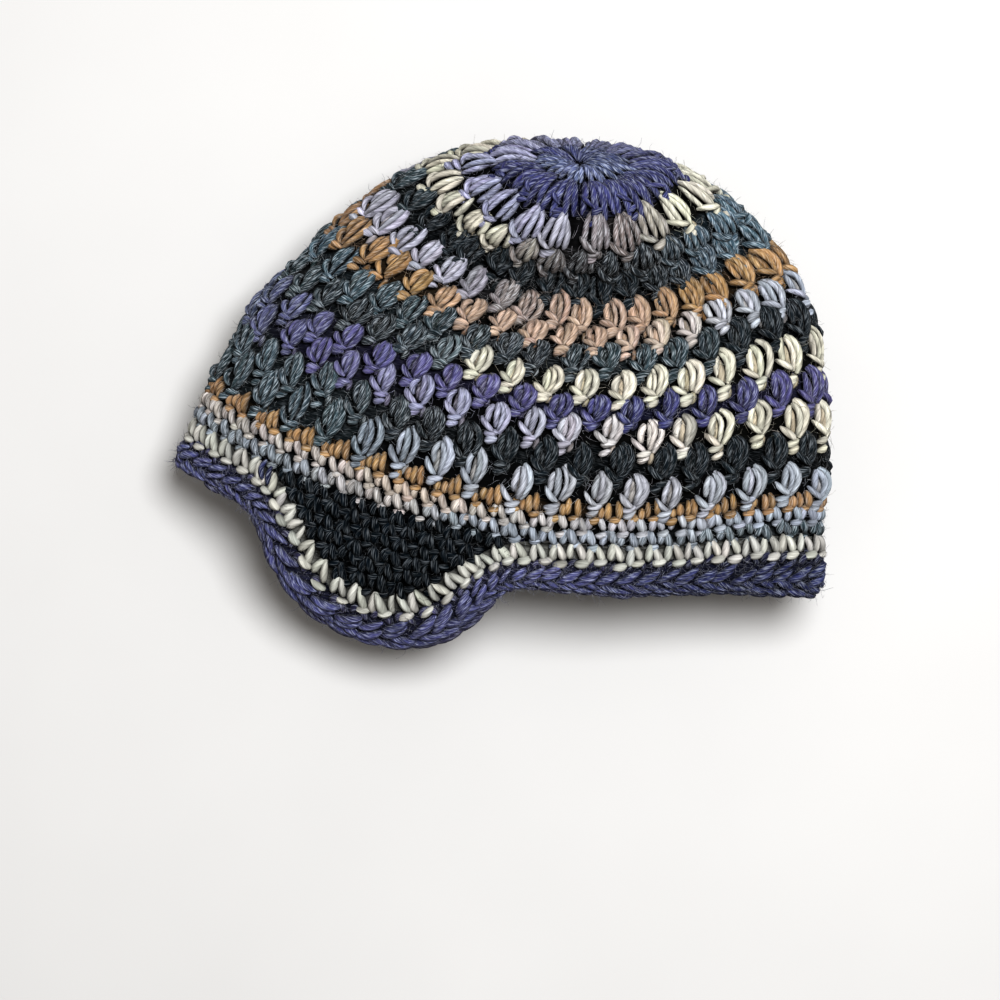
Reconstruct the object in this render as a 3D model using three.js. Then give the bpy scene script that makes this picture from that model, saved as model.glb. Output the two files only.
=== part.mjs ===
import * as THREE from "three";

// Crochet beanie with ear flaps, lying on its side. All sizes are in millimetres.
// +Y runs from the brim to the crown, +X to the front fold, +Z up from the floor.
// "along" is the distance from the crown's centre, counted over the rounds.
// A ring place is a fraction of a turn: 0 front fold, 0.25 top, 0.5 back fold, 0.75 underside.

// Sections of the lying hat, a row for each round or edge.
// x, y: ring centre. turn: yaw of the ring in degrees. reach: how far the ring bows to the
// brim on the upper side and to the crown on the lower side. lean: the part of that bow
// that is straight. power: sharpness of the rest.
const SECTION_COLUMNS = [
  "along", "x", "y", "halfWidth", "turn", "upperReach", "lowerReach", "lean",
  "backPower", "frontPower", "backHeight", "frontHeight", "topHeight", "lowHeight",
];
const SECTIONS = [
  [0, 4.8, 120.7, 0.0, 4.2, 0.0, 0.0, 0.0, 2.0, 2.0, 68, 68, 68, 68],
  [6.2, 5.1, 120.7, 8.7, 4.2, 3.8, 3.5, 3.6, 2.0, 2.0, 68, 68, 71, 65],
  [18, 5.9, 122.0, 26.7, 6.0, 14.0, 8.2, 11.1, 2.0, 2.0, 63, 64, 76, 47],
  [30, 7.5, 118.9, 40.2, 3.2, 25.6, 11.1, 16.0, 1.6, 2.2, 57, 60, 76, 33],
  [41.6, 8.5, 115.0, 52.1, 2.1, 30.1, 14.3, 14.0, 1.4, 2.5, 51, 57, 71, 20],
  [53.3, 8.7, 109.3, 62.9, 1.2, 30.7, 18.2, 8.0, 1.4, 3.0, 46, 55, 63, 8],
  [65, 9.3, 101.2, 73.1, 0.8, 34.3, 21.3, 3.0, 1.4, 2.9, 42, 53, 66, 1],
  [76.8, 8.6, 92.5, 81.0, 0.8, 33.2, 22.3, 0.0, 1.3, 2.8, 40, 52, 71, -4],
  [88.3, 8.0, 82.9, 88.1, 0.7, 30.8, 21.0, 0.0, 1.2, 3.0, 38, 52, 75, -7],
  [100, 7.4, 72.0, 93.6, 0.0, 28.9, 19.0, 0.0, 1.2, 3.0, 37, 52, 77, -9],
  [111.8, 6.0, 61.7, 99.4, -0.7, 25.9, 16.6, 0.0, 1.2, 3.0, 36, 52, 78, -10],
  [123.3, 4.1, 51.2, 103.6, -1.0, 23.1, 14.2, 0.0, 1.4, 3.0, 36, 51, 77, -10],
  [135, 3.8, 40.3, 106.5, -1.4, 22.0, 12.3, 0.0, 1.6, 3.0, 36, 51, 76, -10],
  [146.8, 2.7, 29.4, 109.3, -1.0, 21.6, 10.3, 0.0, 1.6, 3.0, 36, 50, 74, -10],
  [155.2, 1.2, 21.4, 111.5, -0.3, 21.4, 8.8, 0.0, 1.7, 3.0, 35, 49, 72, -10],
  [166, 0.6, 11.0, 113.5, 0.2, 20.8, 6.8, 0.0, 1.8, 3.0, 34, 47, 68, -9],
  [174.1, 0.6, 3.0, 115.1, 0.3, 20.3, 5.3, 0.0, 1.8, 3.0, 33, 46, 65, -9],
  [187, 0.4, -10.0, 118.2, -0.1, 19.0, 3.3, 0.0, 1.8, 3.0, 31, 44, 61, -8],
  [230, 1.4, -49.3, 126.7, -0.4, 16.4, -3.5, 0.0, 1.8, 3.0, 20, 30, 34, -7],
];

// Rounds of puff stitch from the crown down: how many puffs, and where the round ends.
const ROUNDS = [
  [8, 12.5], [14, 24], [20, 36], [26, 47.5], [32, 59], [36, 71], [36, 82.5],
  [36, 94], [36, 106], [36, 117.5], [36, 129], [36, 141], [36, 152.5],
].map(([puffs, end]) => ({ puffs, end }));
const STAR_ROUNDS = 2;
const CROWN_ROUNDS = 6;
const PLAIN_ROUNDS = 3;
const PLAIN_ROUND_HEIGHT = 5.4;
const STITCHES = 72;

// Ear flaps: centres of their two sides in stitches from the front fold, and their depth.
const FLAP_FRONT_SIDE = 19.25;
const FLAP_BACK_SIDE = 27.2;
const FLAP_SOFTNESS = 1.0;
const FLAP_DEPTH = 32.5;
const FLAP_LEAST_DEPTH = 1.0;

const TRIM_WIDTH = 5.3;
const EDGING_WIDTH = 12.4;
const GAP = 0.3;
const BAND_TO_TRIM_GAP = 0.4;

// Wall sizes, measured from the surface that the section table gives.
const PUFF_WALL = 4.5;
const PUFF_CREST = 1.5;
const PUFF_VALLEY = -1.3;
const BETWEEN_PUFFS = 0.25;
const PLAIN_WALL = 3.5;
const PLAIN_CREST = 0.5;
const PLAIN_VALLEY = -0.7;
const FLAP_WALL = 3.5;
const FLAP_CREST = 0;
const EDGING_WALL = 4.4;
const TRIM_CREST = 0.8;
const EDGING_CREST = 1.8;
const EDGING_SHOULDER = 1.4;
const EDGING_LIP = -1.4;

// How softly the underside meets the floor, and below which height the relief of the
// stitches is pressed flat. Lifts above the relief limit count as relief.
const FLOOR_SOFTNESS = 2.0;
const FLOOR_SINK = 1.0;
const PRESSED_BELOW = 9;
const RELIEF_LIMIT = -2;
const LOWER_POWER = 1.7;
const HEIGHT_POWER = 0.9;

// The origin is under the middle of the hat's box, in the section table's own frame.
const ORIGIN_X = 0.45;
const ORIGIN_Y = 36.77;

const RING_SAMPLES = 90;
const POLE_SAMPLES = 12;
const STEP_TURN = 0.002;
const STEP_ALONG = 0.6;
const CLEAR_OF_POLE = 2.5;
const BAND_START = ROUNDS[ROUNDS.length - 1].end;
const BAND_END = BAND_START + PLAIN_ROUNDS * PLAIN_ROUND_HEIGHT;
const BRIM_GIRTH = 518;

// Section table.
function slopesOf(column) {
  const slopes = [];
  for (let i = 0; i < SECTIONS.length; i += 1) {
    const before = Math.max(i - 1, 0);
    const after = Math.min(i + 1, SECTIONS.length - 1);
    const stepBefore = SECTIONS[i][0] - SECTIONS[before][0];
    const stepAfter = SECTIONS[after][0] - SECTIONS[i][0];
    const riseBefore = stepBefore > 0 ? (SECTIONS[i][column] - SECTIONS[before][column]) / stepBefore : 0;
    const riseAfter = stepAfter > 0 ? (SECTIONS[after][column] - SECTIONS[i][column]) / stepAfter : 0;
    slopes.push((riseBefore * stepAfter + riseAfter * stepBefore) / (stepBefore + stepAfter));
  }
  slopes[0] = (SECTIONS[1][column] - SECTIONS[0][column]) / SECTIONS[1][0];
  return slopes;
}
const SLOPES = SECTION_COLUMNS.map((name, column) => slopesOf(column));

function sectionAt(along) {
  let i = 0;
  while (i < SECTIONS.length - 2 && along > SECTIONS[i + 1][0]) {
    i += 1;
  }
  const step = SECTIONS[i + 1][0] - SECTIONS[i][0];
  const t = (along - SECTIONS[i][0]) / step;
  const section = {};
  SECTION_COLUMNS.forEach((name, column) => {
    const startValue = SECTIONS[i][column];
    const endValue = SECTIONS[i + 1][column];
    const startSlope = SLOPES[column][i] * step;
    const endSlope = SLOPES[column][i + 1] * step;
    section[name] = (2 * t ** 3 - 3 * t ** 2 + 1) * startValue + (t ** 3 - 2 * t ** 2 + t) * startSlope
      + (3 * t ** 2 - 2 * t ** 3) * endValue + (t ** 3 - t ** 2) * endSlope;
  });
  return section;
}

function restOnFloor(height) {
  const soft = 2 * FLOOR_SOFTNESS;
  return 0.5 * (height + Math.hypot(height, soft)) - FLOOR_SINK;
}

function pointAtAngle(section, angle) {
  const side = Math.sin(angle);
  const across = Math.cos(angle);
  const size = Math.abs(side);
  const back = 0.5 - 0.5 * Math.sin(across * Math.PI / 2);
  const power = section.frontPower * (1 - back) + section.backPower * back;
  const foldHeight = section.frontHeight * (1 - back) + section.backHeight * back;
  const upperBow = (section.upperReach - section.lean) * size ** power;
  const lowerBow = (section.lowerReach - section.lean) * size ** LOWER_POWER;
  const bow = section.lean * side + (side >= 0 ? upperBow : -lowerBow);
  const far = side >= 0 ? section.topHeight : section.lowHeight;
  const height = foldHeight + (far - foldHeight) * size ** HEIGHT_POWER;
  const yaw = THREE.MathUtils.degToRad(section.turn);
  const offset = section.halfWidth * across;
  return new THREE.Vector3(
    section.x - ORIGIN_X + offset * Math.cos(yaw) + bow * Math.sin(yaw),
    section.y - ORIGIN_Y + offset * Math.sin(yaw) - bow * Math.cos(yaw),
    restOnFloor(height),
  );
}

// Rings are walked by length, so that stitches keep their width around the folds.
const ringStore = new Map();
function ringAt(along) {
  const key = along.toFixed(4);
  if (!ringStore.has(key)) {
    const section = sectionAt(along);
    const halves = [0, 1].map((half) => {
      const angles = [];
      const lengths = [0];
      let last = null;
      for (let i = 0; i <= RING_SAMPLES; i += 1) {
        const angle = Math.PI * (half + i / RING_SAMPLES);
        const point = pointAtAngle(section, angle);
        if (last) {
          lengths.push(lengths[lengths.length - 1] + point.distanceTo(last));
        }
        angles.push(angle);
        last = point;
      }
      return { angles, lengths };
    });
    ringStore.set(key, { section, halves });
  }
  return ringStore.get(key);
}

function surfacePoint(place, along) {
  const ring = ringAt(along);
  const turn = place - Math.floor(place);
  const half = turn >= 0.5 ? 1 : 0;
  const { angles, lengths } = ring.halves[half];
  const wanted = (turn * 2 - half) * lengths[lengths.length - 1];
  let i = 1;
  while (i < lengths.length - 1 && lengths[i] < wanted) {
    i += 1;
  }
  const span = lengths[i] - lengths[i - 1];
  const part = span > 0 ? (wanted - lengths[i - 1]) / span : 0;
  return pointAtAngle(ring.section, angles[i - 1] + part * (angles[i] - angles[i - 1]));
}

function outwardAt(place, along) {
  const safeAlong = Math.max(along, CLEAR_OF_POLE);
  const around = surfacePoint(place + STEP_TURN, safeAlong).sub(surfacePoint(place - STEP_TURN, safeAlong));
  const down = surfacePoint(place, safeAlong + STEP_ALONG).sub(surfacePoint(place, safeAlong - STEP_ALONG));
  return around.cross(down).normalize();
}

function poleOutward() {
  const sum = new THREE.Vector3();
  for (let i = 0; i < POLE_SAMPLES; i += 1) {
    sum.add(outwardAt(i / POLE_SAMPLES, CLEAR_OF_POLE));
  }
  return sum.normalize();
}

// A point of the wall: lift is outwards from the surface, negative inside the hat.
function wallPoint(place, along, lift) {
  const base = surfacePoint(place, along);
  const normal = along <= 0 ? poleOutward() : outwardAt(place, along);
  const pressed = Math.min(Math.max(base.z / PRESSED_BELOW, 0), 1);
  const point = base.addScaledVector(normal, lift > RELIEF_LIMIT ? lift * pressed : lift);
  point.z = Math.max(point.z, 0);
  return point;
}

// Puffs of a round, as waves of the wall. Neighbouring rounds are half a puff apart.
function roundStart(index) {
  return index > 0 ? ROUNDS[index - 1].end : 0;
}

function puffLift(place, along) {
  const index = ROUNDS.findIndex((round) => along <= round.end);
  const { puffs, end } = ROUNDS[index];
  const start = roundStart(index);
  const rise = Math.sin(Math.PI * (along - start) / (end - start));
  const shift = index % 2 === 0 ? 0.5 : 0;
  const wave = 0.5 + 0.5 * Math.cos(2 * Math.PI * (place * puffs - shift));
  return PUFF_VALLEY + (PUFF_CREST - PUFF_VALLEY) * rise * (BETWEEN_PUFFS + (1 - BETWEEN_PUFFS) * wave);
}

function plainLift(along) {
  const phase = (along - BAND_START) / PLAIN_ROUND_HEIGHT;
  const crest = 0.5 - 0.5 * Math.cos(2 * Math.PI * phase);
  return PLAIN_VALLEY + (PLAIN_CREST - PLAIN_VALLEY) * crest;
}

// The rim's outline: the band's end, lowered at the two ear flaps.
function softStep(stitches) {
  return 1 / (1 + Math.exp(-stitches / FLAP_SOFTNESS));
}

function flapDepth(place) {
  const turn = place - Math.floor(place);
  const stitch = Math.min(turn, 1 - turn) * STITCHES;
  return FLAP_DEPTH * (softStep(stitch - FLAP_FRONT_SIDE) + softStep(FLAP_BACK_SIDE - stitch) - 1);
}

// A place beyond the rim's outline, square to it in the unrolled cloth.
function beyondOutline(place, distance) {
  const slope = (flapDepth(place + STEP_TURN) - flapDepth(place - STEP_TURN)) / (2 * STEP_TURN * BRIM_GIRTH);
  const size = Math.hypot(1, slope);
  return {
    place: place - distance * slope / size / BRIM_GIRTH,
    along: BAND_END + flapDepth(place) + distance / size,
  };
}

// Solids from rows of points.
function solidFrom(name, colour, points, faces) {
  let volume = 0;
  faces.forEach(([a, b, c]) => {
    volume += points[a].dot(points[b].clone().cross(points[c]));
  });
  const ordered = volume > 0 ? faces : faces.map(([a, b, c]) => [a, c, b]);
  const geometry = new THREE.BufferGeometry();
  const positions = points.flatMap((point) => [point.x, point.y, point.z]);
  geometry.setAttribute("position", new THREE.Float32BufferAttribute(positions, 3));
  geometry.setIndex(ordered.flat());
  geometry.computeVertexNormals();
  const material = new THREE.MeshStandardMaterial({ color: colour, roughness: 0.95, metalness: 0 });
  const mesh = new THREE.Mesh(geometry, material);
  mesh.name = name;
  return mesh;
}

function addQuad(points, faces, a, b, c, d) {
  if (points[a].distanceTo(points[c]) <= points[b].distanceTo(points[d])) {
    faces.push([a, b, c], [a, c, d]);
  } else {
    faces.push([a, b, d], [b, c, d]);
  }
}

// A wall that closes around the hat. The rows run down outside and back up inside.
// A row with one point is the crown's centre.
function ringSolid(name, colour, rows) {
  const points = [];
  const faces = [];
  const starts = rows.map((row) => {
    const start = points.length;
    points.push(...row);
    return start;
  });
  const columns = Math.max(...rows.map((row) => row.length));
  const openEnd = rows[0].length === 1;
  const joins = openEnd ? rows.length - 1 : rows.length;
  for (let i = 0; i < joins; i += 1) {
    const next = (i + 1) % rows.length;
    for (let j = 0; j < columns; j += 1) {
      const k = (j + 1) % columns;
      if (rows[i].length === 1) {
        faces.push([starts[i], starts[next] + j, starts[next] + k]);
      } else if (rows[next].length === 1) {
        faces.push([starts[i] + k, starts[i] + j, starts[next]]);
      } else {
        addQuad(points, faces, starts[i] + j, starts[next] + j, starts[next] + k, starts[i] + k);
      }
    }
  }
  return solidFrom(name, colour, points, faces);
}

// A wall with four edges: an outer and an inner grid of the same size.
function patchSolid(name, colour, outer, inner) {
  const rowCount = outer.length;
  const columns = outer[0].length;
  const points = [...outer.flat(), ...inner.flat()];
  const faces = [];
  const innerStart = rowCount * columns;
  const at = (row, column) => row * columns + column;
  for (let i = 0; i < rowCount - 1; i += 1) {
    for (let j = 0; j < columns - 1; j += 1) {
      const corners = [at(i, j), at(i + 1, j), at(i + 1, j + 1), at(i, j + 1)];
      addQuad(points, faces, ...corners);
      const turned = corners.map((index) => innerStart + index).reverse();
      addQuad(points, faces, ...turned);
    }
  }
  const edge = [];
  for (let j = 0; j < columns; j += 1) {
    edge.push(at(0, j));
  }
  for (let i = 1; i < rowCount; i += 1) {
    edge.push(at(i, columns - 1));
  }
  for (let j = columns - 2; j >= 0; j -= 1) {
    edge.push(at(rowCount - 1, j));
  }
  for (let i = rowCount - 2; i > 0; i -= 1) {
    edge.push(at(i, 0));
  }
  edge.forEach((index, order) => {
    const following = edge[(order + 1) % edge.length];
    addQuad(points, faces, index, following, innerStart + following, innerStart + index);
  });
  return solidFrom(name, colour, points, faces);
}

function ringRow(columns, along, liftOf) {
  const row = [];
  for (let j = 0; j < columns; j += 1) {
    row.push(wallPoint(j / columns, along, liftOf(j / columns, along)));
  }
  return row;
}

function evenSteps(start, end, count) {
  return Array.from({ length: count + 1 }, (unused, i) => start + (end - start) * i / count);
}

const innerPuffLift = () => -PUFF_WALL;
const innerPlainLift = () => -PLAIN_WALL;

// Rows of a puff zone: two outer steps a round, and plain rows inside.
function puffRows(columns, firstRound, lastRound, innerSteps) {
  const fromPole = firstRound === 0;
  const start = fromPole ? 0 : roundStart(firstRound) + GAP / 2;
  const end = ROUNDS[lastRound].end - GAP / 2;
  const outerPlaces = [];
  for (let index = firstRound; index <= lastRound; index += 1) {
    if (index > firstRound) {
      outerPlaces.push(roundStart(index));
    }
    outerPlaces.push((roundStart(index) + ROUNDS[index].end) / 2);
  }
  outerPlaces.push(end);
  const outerRows = outerPlaces.map((along) => ringRow(columns, along, puffLift));
  const innerPlaces = evenSteps(end, start, innerSteps);
  if (fromPole) {
    innerPlaces.pop();
  }
  const innerRows = innerPlaces.map((along) => ringRow(columns, along, innerPuffLift));
  if (fromPole) {
    return [[wallPoint(0, 0, PUFF_VALLEY)], ...outerRows, ...innerRows, [wallPoint(0, 0, -PUFF_WALL)]];
  }
  return [ringRow(columns, start, puffLift), ...outerRows, ...innerRows];
}

const STAR_COLUMNS = 56;
const BODY_COLUMNS = 72;
const RIM_COLUMNS = 96;

function brimBand() {
  const start = BAND_START + GAP / 2;
  const places = [start, ...evenSteps(BAND_START, BAND_END, 2 * PLAIN_ROUNDS).slice(1)];
  const outer = places.map((along) => ringRow(BODY_COLUMNS, along, (place, at) => plainLift(at)));
  const inner = [BAND_END, start].map((along) => ringRow(BODY_COLUMNS, along, innerPlainLift));
  return ringSolid("brim_band", "#b98a5a", [...outer, ...inner]);
}

// One ear flap between the band's end and the rim's outline.
const FLAP_ROWS = 5;
function earFlap(name, lowerSide) {
  const places = [];
  for (let j = 0; j <= RIM_COLUMNS / 2; j += 1) {
    const place = j / RIM_COLUMNS;
    if (flapDepth(place) > FLAP_LEAST_DEPTH) {
      places.push(lowerSide ? 1 - place : place);
    }
  }
  const grid = (liftOf) => evenSteps(0, 1, FLAP_ROWS).map((part, order) => places.map((place) => {
    const top = BAND_END + GAP;
    const along = top + part * (BAND_END + flapDepth(place) - top);
    return wallPoint(place, along, liftOf(order));
  }));
  const outer = grid((order) => (order % 2 === 0 ? PLAIN_VALLEY : FLAP_CREST));
  const inner = grid(() => -FLAP_WALL);
  return patchSolid(name, "#1f262b", outer, inner);
}

// Rim pieces follow the outline at stated distances beyond it.
function rimSolid(name, colour, profile) {
  const rows = profile.map(([distance, lift]) => {
    const row = [];
    for (let j = 0; j < RIM_COLUMNS; j += 1) {
      const spot = beyondOutline(j / RIM_COLUMNS, distance);
      row.push(wallPoint(spot.place, spot.along, lift));
    }
    return row;
  });
  return ringSolid(name, colour, rows);
}

// Profiles of the rim pieces: distance beyond the outline, and lift from the surface.
const TRIM_START = BAND_TO_TRIM_GAP;
const TRIM_END = TRIM_START + TRIM_WIDTH;
const TRIM_PROFILE = [
  [TRIM_START, PLAIN_VALLEY], [TRIM_START + TRIM_WIDTH / 2, TRIM_CREST],
  [TRIM_END, PLAIN_VALLEY], [TRIM_END, -PLAIN_WALL], [TRIM_START, -PLAIN_WALL],
];
const EDGING_START = TRIM_END + GAP;
const EDGING_SHAPE = [
  [0, PLAIN_VALLEY], [0.3, EDGING_CREST], [0.75, EDGING_SHOULDER],
  [1, EDGING_LIP], [0.72, -EDGING_WALL], [0, -PLAIN_WALL],
];
const EDGING_PROFILE = EDGING_SHAPE.map(([part, lift]) => [EDGING_START + part * EDGING_WIDTH, lift]);

const beanie = new THREE.Group();
beanie.name = "crochet_beanie";
beanie.add(ringSolid("crown_star", "#3a3c68", puffRows(STAR_COLUMNS, 0, STAR_ROUNDS - 1, 3)));
beanie.add(ringSolid("crown_rounds", "#8f8a94", puffRows(BODY_COLUMNS, STAR_ROUNDS, CROWN_ROUNDS - 1, 4)));
beanie.add(ringSolid("body_rounds", "#565f7e", puffRows(BODY_COLUMNS, CROWN_ROUNDS, ROUNDS.length - 1, 5)));
beanie.add(brimBand());
beanie.add(earFlap("ear_flap_near", false));
beanie.add(earFlap("ear_flap_far", true));
beanie.add(rimSolid("cream_trim", "#ddd8c6", TRIM_PROFILE));
beanie.add(rimSolid("purple_edging", "#4c4a78", EDGING_PROFILE));

export default beanie;
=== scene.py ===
"""Looks of a crochet beanie with ear flaps that lies on its side: yarn, fuzz, floor, light and camera.

The stitches are tubes of yarn laid on the same surface that the solids have.
Sizes are in millimetres up to the point where a mesh is made, and in metres from there.
"""
import math

import bpy
import numpy as np
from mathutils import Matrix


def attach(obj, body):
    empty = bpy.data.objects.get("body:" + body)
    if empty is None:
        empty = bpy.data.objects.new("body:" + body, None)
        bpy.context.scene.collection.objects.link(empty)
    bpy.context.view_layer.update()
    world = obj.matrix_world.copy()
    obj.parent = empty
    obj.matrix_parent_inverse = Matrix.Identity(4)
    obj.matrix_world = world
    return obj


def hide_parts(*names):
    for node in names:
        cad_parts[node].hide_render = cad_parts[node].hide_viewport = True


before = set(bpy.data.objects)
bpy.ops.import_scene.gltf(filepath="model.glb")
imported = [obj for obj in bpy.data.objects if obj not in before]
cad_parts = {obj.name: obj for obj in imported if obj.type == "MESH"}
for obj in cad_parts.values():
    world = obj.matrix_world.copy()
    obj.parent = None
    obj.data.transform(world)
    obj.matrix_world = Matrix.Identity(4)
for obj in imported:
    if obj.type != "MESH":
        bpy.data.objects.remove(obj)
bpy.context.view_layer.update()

MM = 0.001
SEED = 41
TINY = 1e-9

# Surface of the lying hat. "along" is the distance from the crown's centre over the rounds,
# and "place" a fraction of a turn: 0 front fold, 0.25 top, 0.5 back fold, 0.75 underside.
SECTION_COLUMNS = [
    "along", "x", "y", "half_width", "turn", "upper_reach", "lower_reach", "lean",
    "back_power", "front_power", "back_height", "front_height", "top_height", "low_height",
]
SECTIONS = np.array([
    [0, 4.8, 120.7, 0.0, 4.2, 0.0, 0.0, 0.0, 2.0, 2.0, 68, 68, 68, 68],
    [6.2, 5.1, 120.7, 8.7, 4.2, 3.8, 3.5, 3.6, 2.0, 2.0, 68, 68, 71, 65],
    [18, 5.9, 122.0, 26.7, 6.0, 14.0, 8.2, 11.1, 2.0, 2.0, 63, 64, 76, 47],
    [30, 7.5, 118.9, 40.2, 3.2, 25.6, 11.1, 16.0, 1.6, 2.2, 57, 60, 76, 33],
    [41.6, 8.5, 115.0, 52.1, 2.1, 30.1, 14.3, 14.0, 1.4, 2.5, 51, 57, 71, 20],
    [53.3, 8.7, 109.3, 62.9, 1.2, 30.7, 18.2, 8.0, 1.4, 3.0, 46, 55, 63, 8],
    [65, 9.3, 101.2, 73.1, 0.8, 34.3, 21.3, 3.0, 1.4, 2.9, 42, 53, 66, 1],
    [76.8, 8.6, 92.5, 81.0, 0.8, 33.2, 22.3, 0.0, 1.3, 2.8, 40, 52, 71, -4],
    [88.3, 8.0, 82.9, 88.1, 0.7, 30.8, 21.0, 0.0, 1.2, 3.0, 38, 52, 75, -7],
    [100, 7.4, 72.0, 93.6, 0.0, 28.9, 19.0, 0.0, 1.2, 3.0, 37, 52, 77, -9],
    [111.8, 6.0, 61.7, 99.4, -0.7, 25.9, 16.6, 0.0, 1.2, 3.0, 36, 52, 78, -10],
    [123.3, 4.1, 51.2, 103.6, -1.0, 23.1, 14.2, 0.0, 1.4, 3.0, 36, 51, 77, -10],
    [135, 3.8, 40.3, 106.5, -1.4, 22.0, 12.3, 0.0, 1.6, 3.0, 36, 51, 76, -10],
    [146.8, 2.7, 29.4, 109.3, -1.0, 21.6, 10.3, 0.0, 1.6, 3.0, 36, 50, 74, -10],
    [155.2, 1.2, 21.4, 111.5, -0.3, 21.4, 8.8, 0.0, 1.7, 3.0, 35, 49, 72, -10],
    [166, 0.6, 11.0, 113.5, 0.2, 20.8, 6.8, 0.0, 1.8, 3.0, 34, 47, 68, -9],
    [174.1, 0.6, 3.0, 115.1, 0.3, 20.3, 5.3, 0.0, 1.8, 3.0, 33, 46, 65, -9],
    [187, 0.4, -10.0, 118.2, -0.1, 19.0, 3.3, 0.0, 1.8, 3.0, 31, 44, 61, -8],
    [230, 1.4, -49.3, 126.7, -0.4, 16.4, -3.5, 0.0, 1.8, 3.0, 20, 30, 34, -7],
])
ORIGIN_X = 0.45
ORIGIN_Y = 36.77
FLOOR_SOFTNESS = 2.0
FLOOR_SINK = 1.0
LOWER_POWER = 1.7
HEIGHT_POWER = 0.9
GRID_STEP = 0.5
GRID_END = 228.0
GRID_PLACES = 720
RING_SAMPLES = 240
CLEAR_OF_POLE = 2.5
SIDE_SINK = 1.8


def unit(vectors):
    """The vectors at a length of one."""
    return vectors / np.maximum(np.linalg.norm(vectors, axis=-1, keepdims=True), TINY)


def section_slopes():
    """The slope of each column at each row of the section table."""
    steps = np.diff(SECTIONS[:, 0])[:, None]
    chords = np.diff(SECTIONS, axis=0) / steps
    slopes = np.zeros_like(SECTIONS)
    slopes[0] = chords[0]
    slopes[1:-1] = (chords[:-1] * steps[1:] + chords[1:] * steps[:-1]) / (steps[:-1] + steps[1:])
    return slopes


def sections_at(alongs):
    """The section table's columns, smoothly between its rows."""
    slopes = section_slopes()
    rows = np.clip(np.searchsorted(SECTIONS[:, 0], alongs, side="right") - 1, 0, len(SECTIONS) - 2)
    steps = (SECTIONS[rows + 1, 0] - SECTIONS[rows, 0])[:, None]
    t = (alongs - SECTIONS[rows, 0])[:, None] / steps
    values = (2 * t ** 3 - 3 * t ** 2 + 1) * SECTIONS[rows]
    values += (t ** 3 - 2 * t ** 2 + t) * steps * slopes[rows]
    values += (3 * t ** 2 - 2 * t ** 3) * SECTIONS[rows + 1]
    values += (t ** 3 - t ** 2) * steps * slopes[rows + 1]
    return {name: values[:, i:i + 1] for i, name in enumerate(SECTION_COLUMNS)}


def ring_points(section, angles):
    """Points of the rings of a section at the given angles, one row of points for each ring."""
    side = np.sin(angles)
    across = np.cos(angles)
    size = np.abs(side)
    back = 0.5 - 0.5 * np.sin(across * math.pi / 2)
    power = section["front_power"] * (1 - back) + section["back_power"] * back
    fold_height = section["front_height"] * (1 - back) + section["back_height"] * back
    upper_bow = (section["upper_reach"] - section["lean"]) * size ** power
    lower_bow = (section["lower_reach"] - section["lean"]) * size ** LOWER_POWER
    bow = section["lean"] * side + np.where(side >= 0, upper_bow, -lower_bow)
    far = np.where(side >= 0, section["top_height"], section["low_height"])
    height = fold_height + (far - fold_height) * size ** HEIGHT_POWER
    turn = np.radians(section["turn"])
    offset = section["half_width"] * across
    x = section["x"] - ORIGIN_X + offset * np.cos(turn) + bow * np.sin(turn)
    y = section["y"] - ORIGIN_Y + offset * np.sin(turn) - bow * np.cos(turn)
    z = 0.5 * (height + np.hypot(height, 2 * FLOOR_SOFTNESS)) - FLOOR_SINK
    return np.stack([x, y, z], axis=-1)


def even_angles(section, half):
    """Angles that part one half of each ring into steps of equal length."""
    samples = np.linspace(0, math.pi, RING_SAMPLES) + half * math.pi
    points = ring_points(section, samples[None, :])
    steps = np.linalg.norm(np.diff(points, axis=1), axis=2)
    lengths = np.concatenate([np.zeros((len(steps), 1)), np.cumsum(steps, axis=1)], axis=1)
    parts = np.linspace(0, 1, GRID_PLACES // 2, endpoint=False)
    angles = [np.interp(parts * row[-1], row, samples) for row in lengths]
    return np.array(angles), lengths[:, -1]


def make_cloth():
    """The surface as a grid of points and outward normals, and the girth at each row.
    It is drawn in a little at the sides, so that the yarn on it keeps the hat's outline."""
    alongs = np.arange(0, GRID_END + GRID_STEP / 2, GRID_STEP)
    section = sections_at(alongs)
    upper, upper_length = even_angles(section, 0)
    lower, lower_length = even_angles(section, 1)
    upper[0] = np.linspace(0, math.pi, GRID_PLACES // 2, endpoint=False)
    lower[0] = upper[0] + math.pi
    points = ring_points(section, np.concatenate([upper, lower], axis=1))
    around = np.roll(points, -1, axis=1) - np.roll(points, 1, axis=1)
    down = np.gradient(points, axis=0)
    normals = unit(np.cross(around, down))
    safe = int(CLEAR_OF_POLE / GRID_STEP)
    pole = normals[safe].mean(axis=0)
    normals[:safe] = pole / np.linalg.norm(pole)
    points = points - normals * SIDE_SINK * (1 - np.abs(normals[..., 2:]))
    return points, normals, upper_length + lower_length


CLOTH_POINTS, CLOTH_NORMALS, CLOTH_GIRTH = make_cloth()


def on_cloth(place, along):
    """Points and outward normals of the surface at places and distances from the crown."""
    row = np.clip(np.asarray(along, float) / GRID_STEP, 0, len(CLOTH_POINTS) - 1.001)
    column = (np.asarray(place, float) % 1.0) * GRID_PLACES
    i = row.astype(int)
    j = column.astype(int) % GRID_PLACES
    k = (j + 1) % GRID_PLACES
    v = (row - i)[..., None]
    u = (column - np.floor(column))[..., None]

    def mix(grid):
        near = grid[i, j] * (1 - u) + grid[i, k] * u
        far = grid[i + 1, j] * (1 - u) + grid[i + 1, k] * u
        return near * (1 - v) + far * v

    return mix(CLOTH_POINTS), unit(mix(CLOTH_NORMALS))


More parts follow.
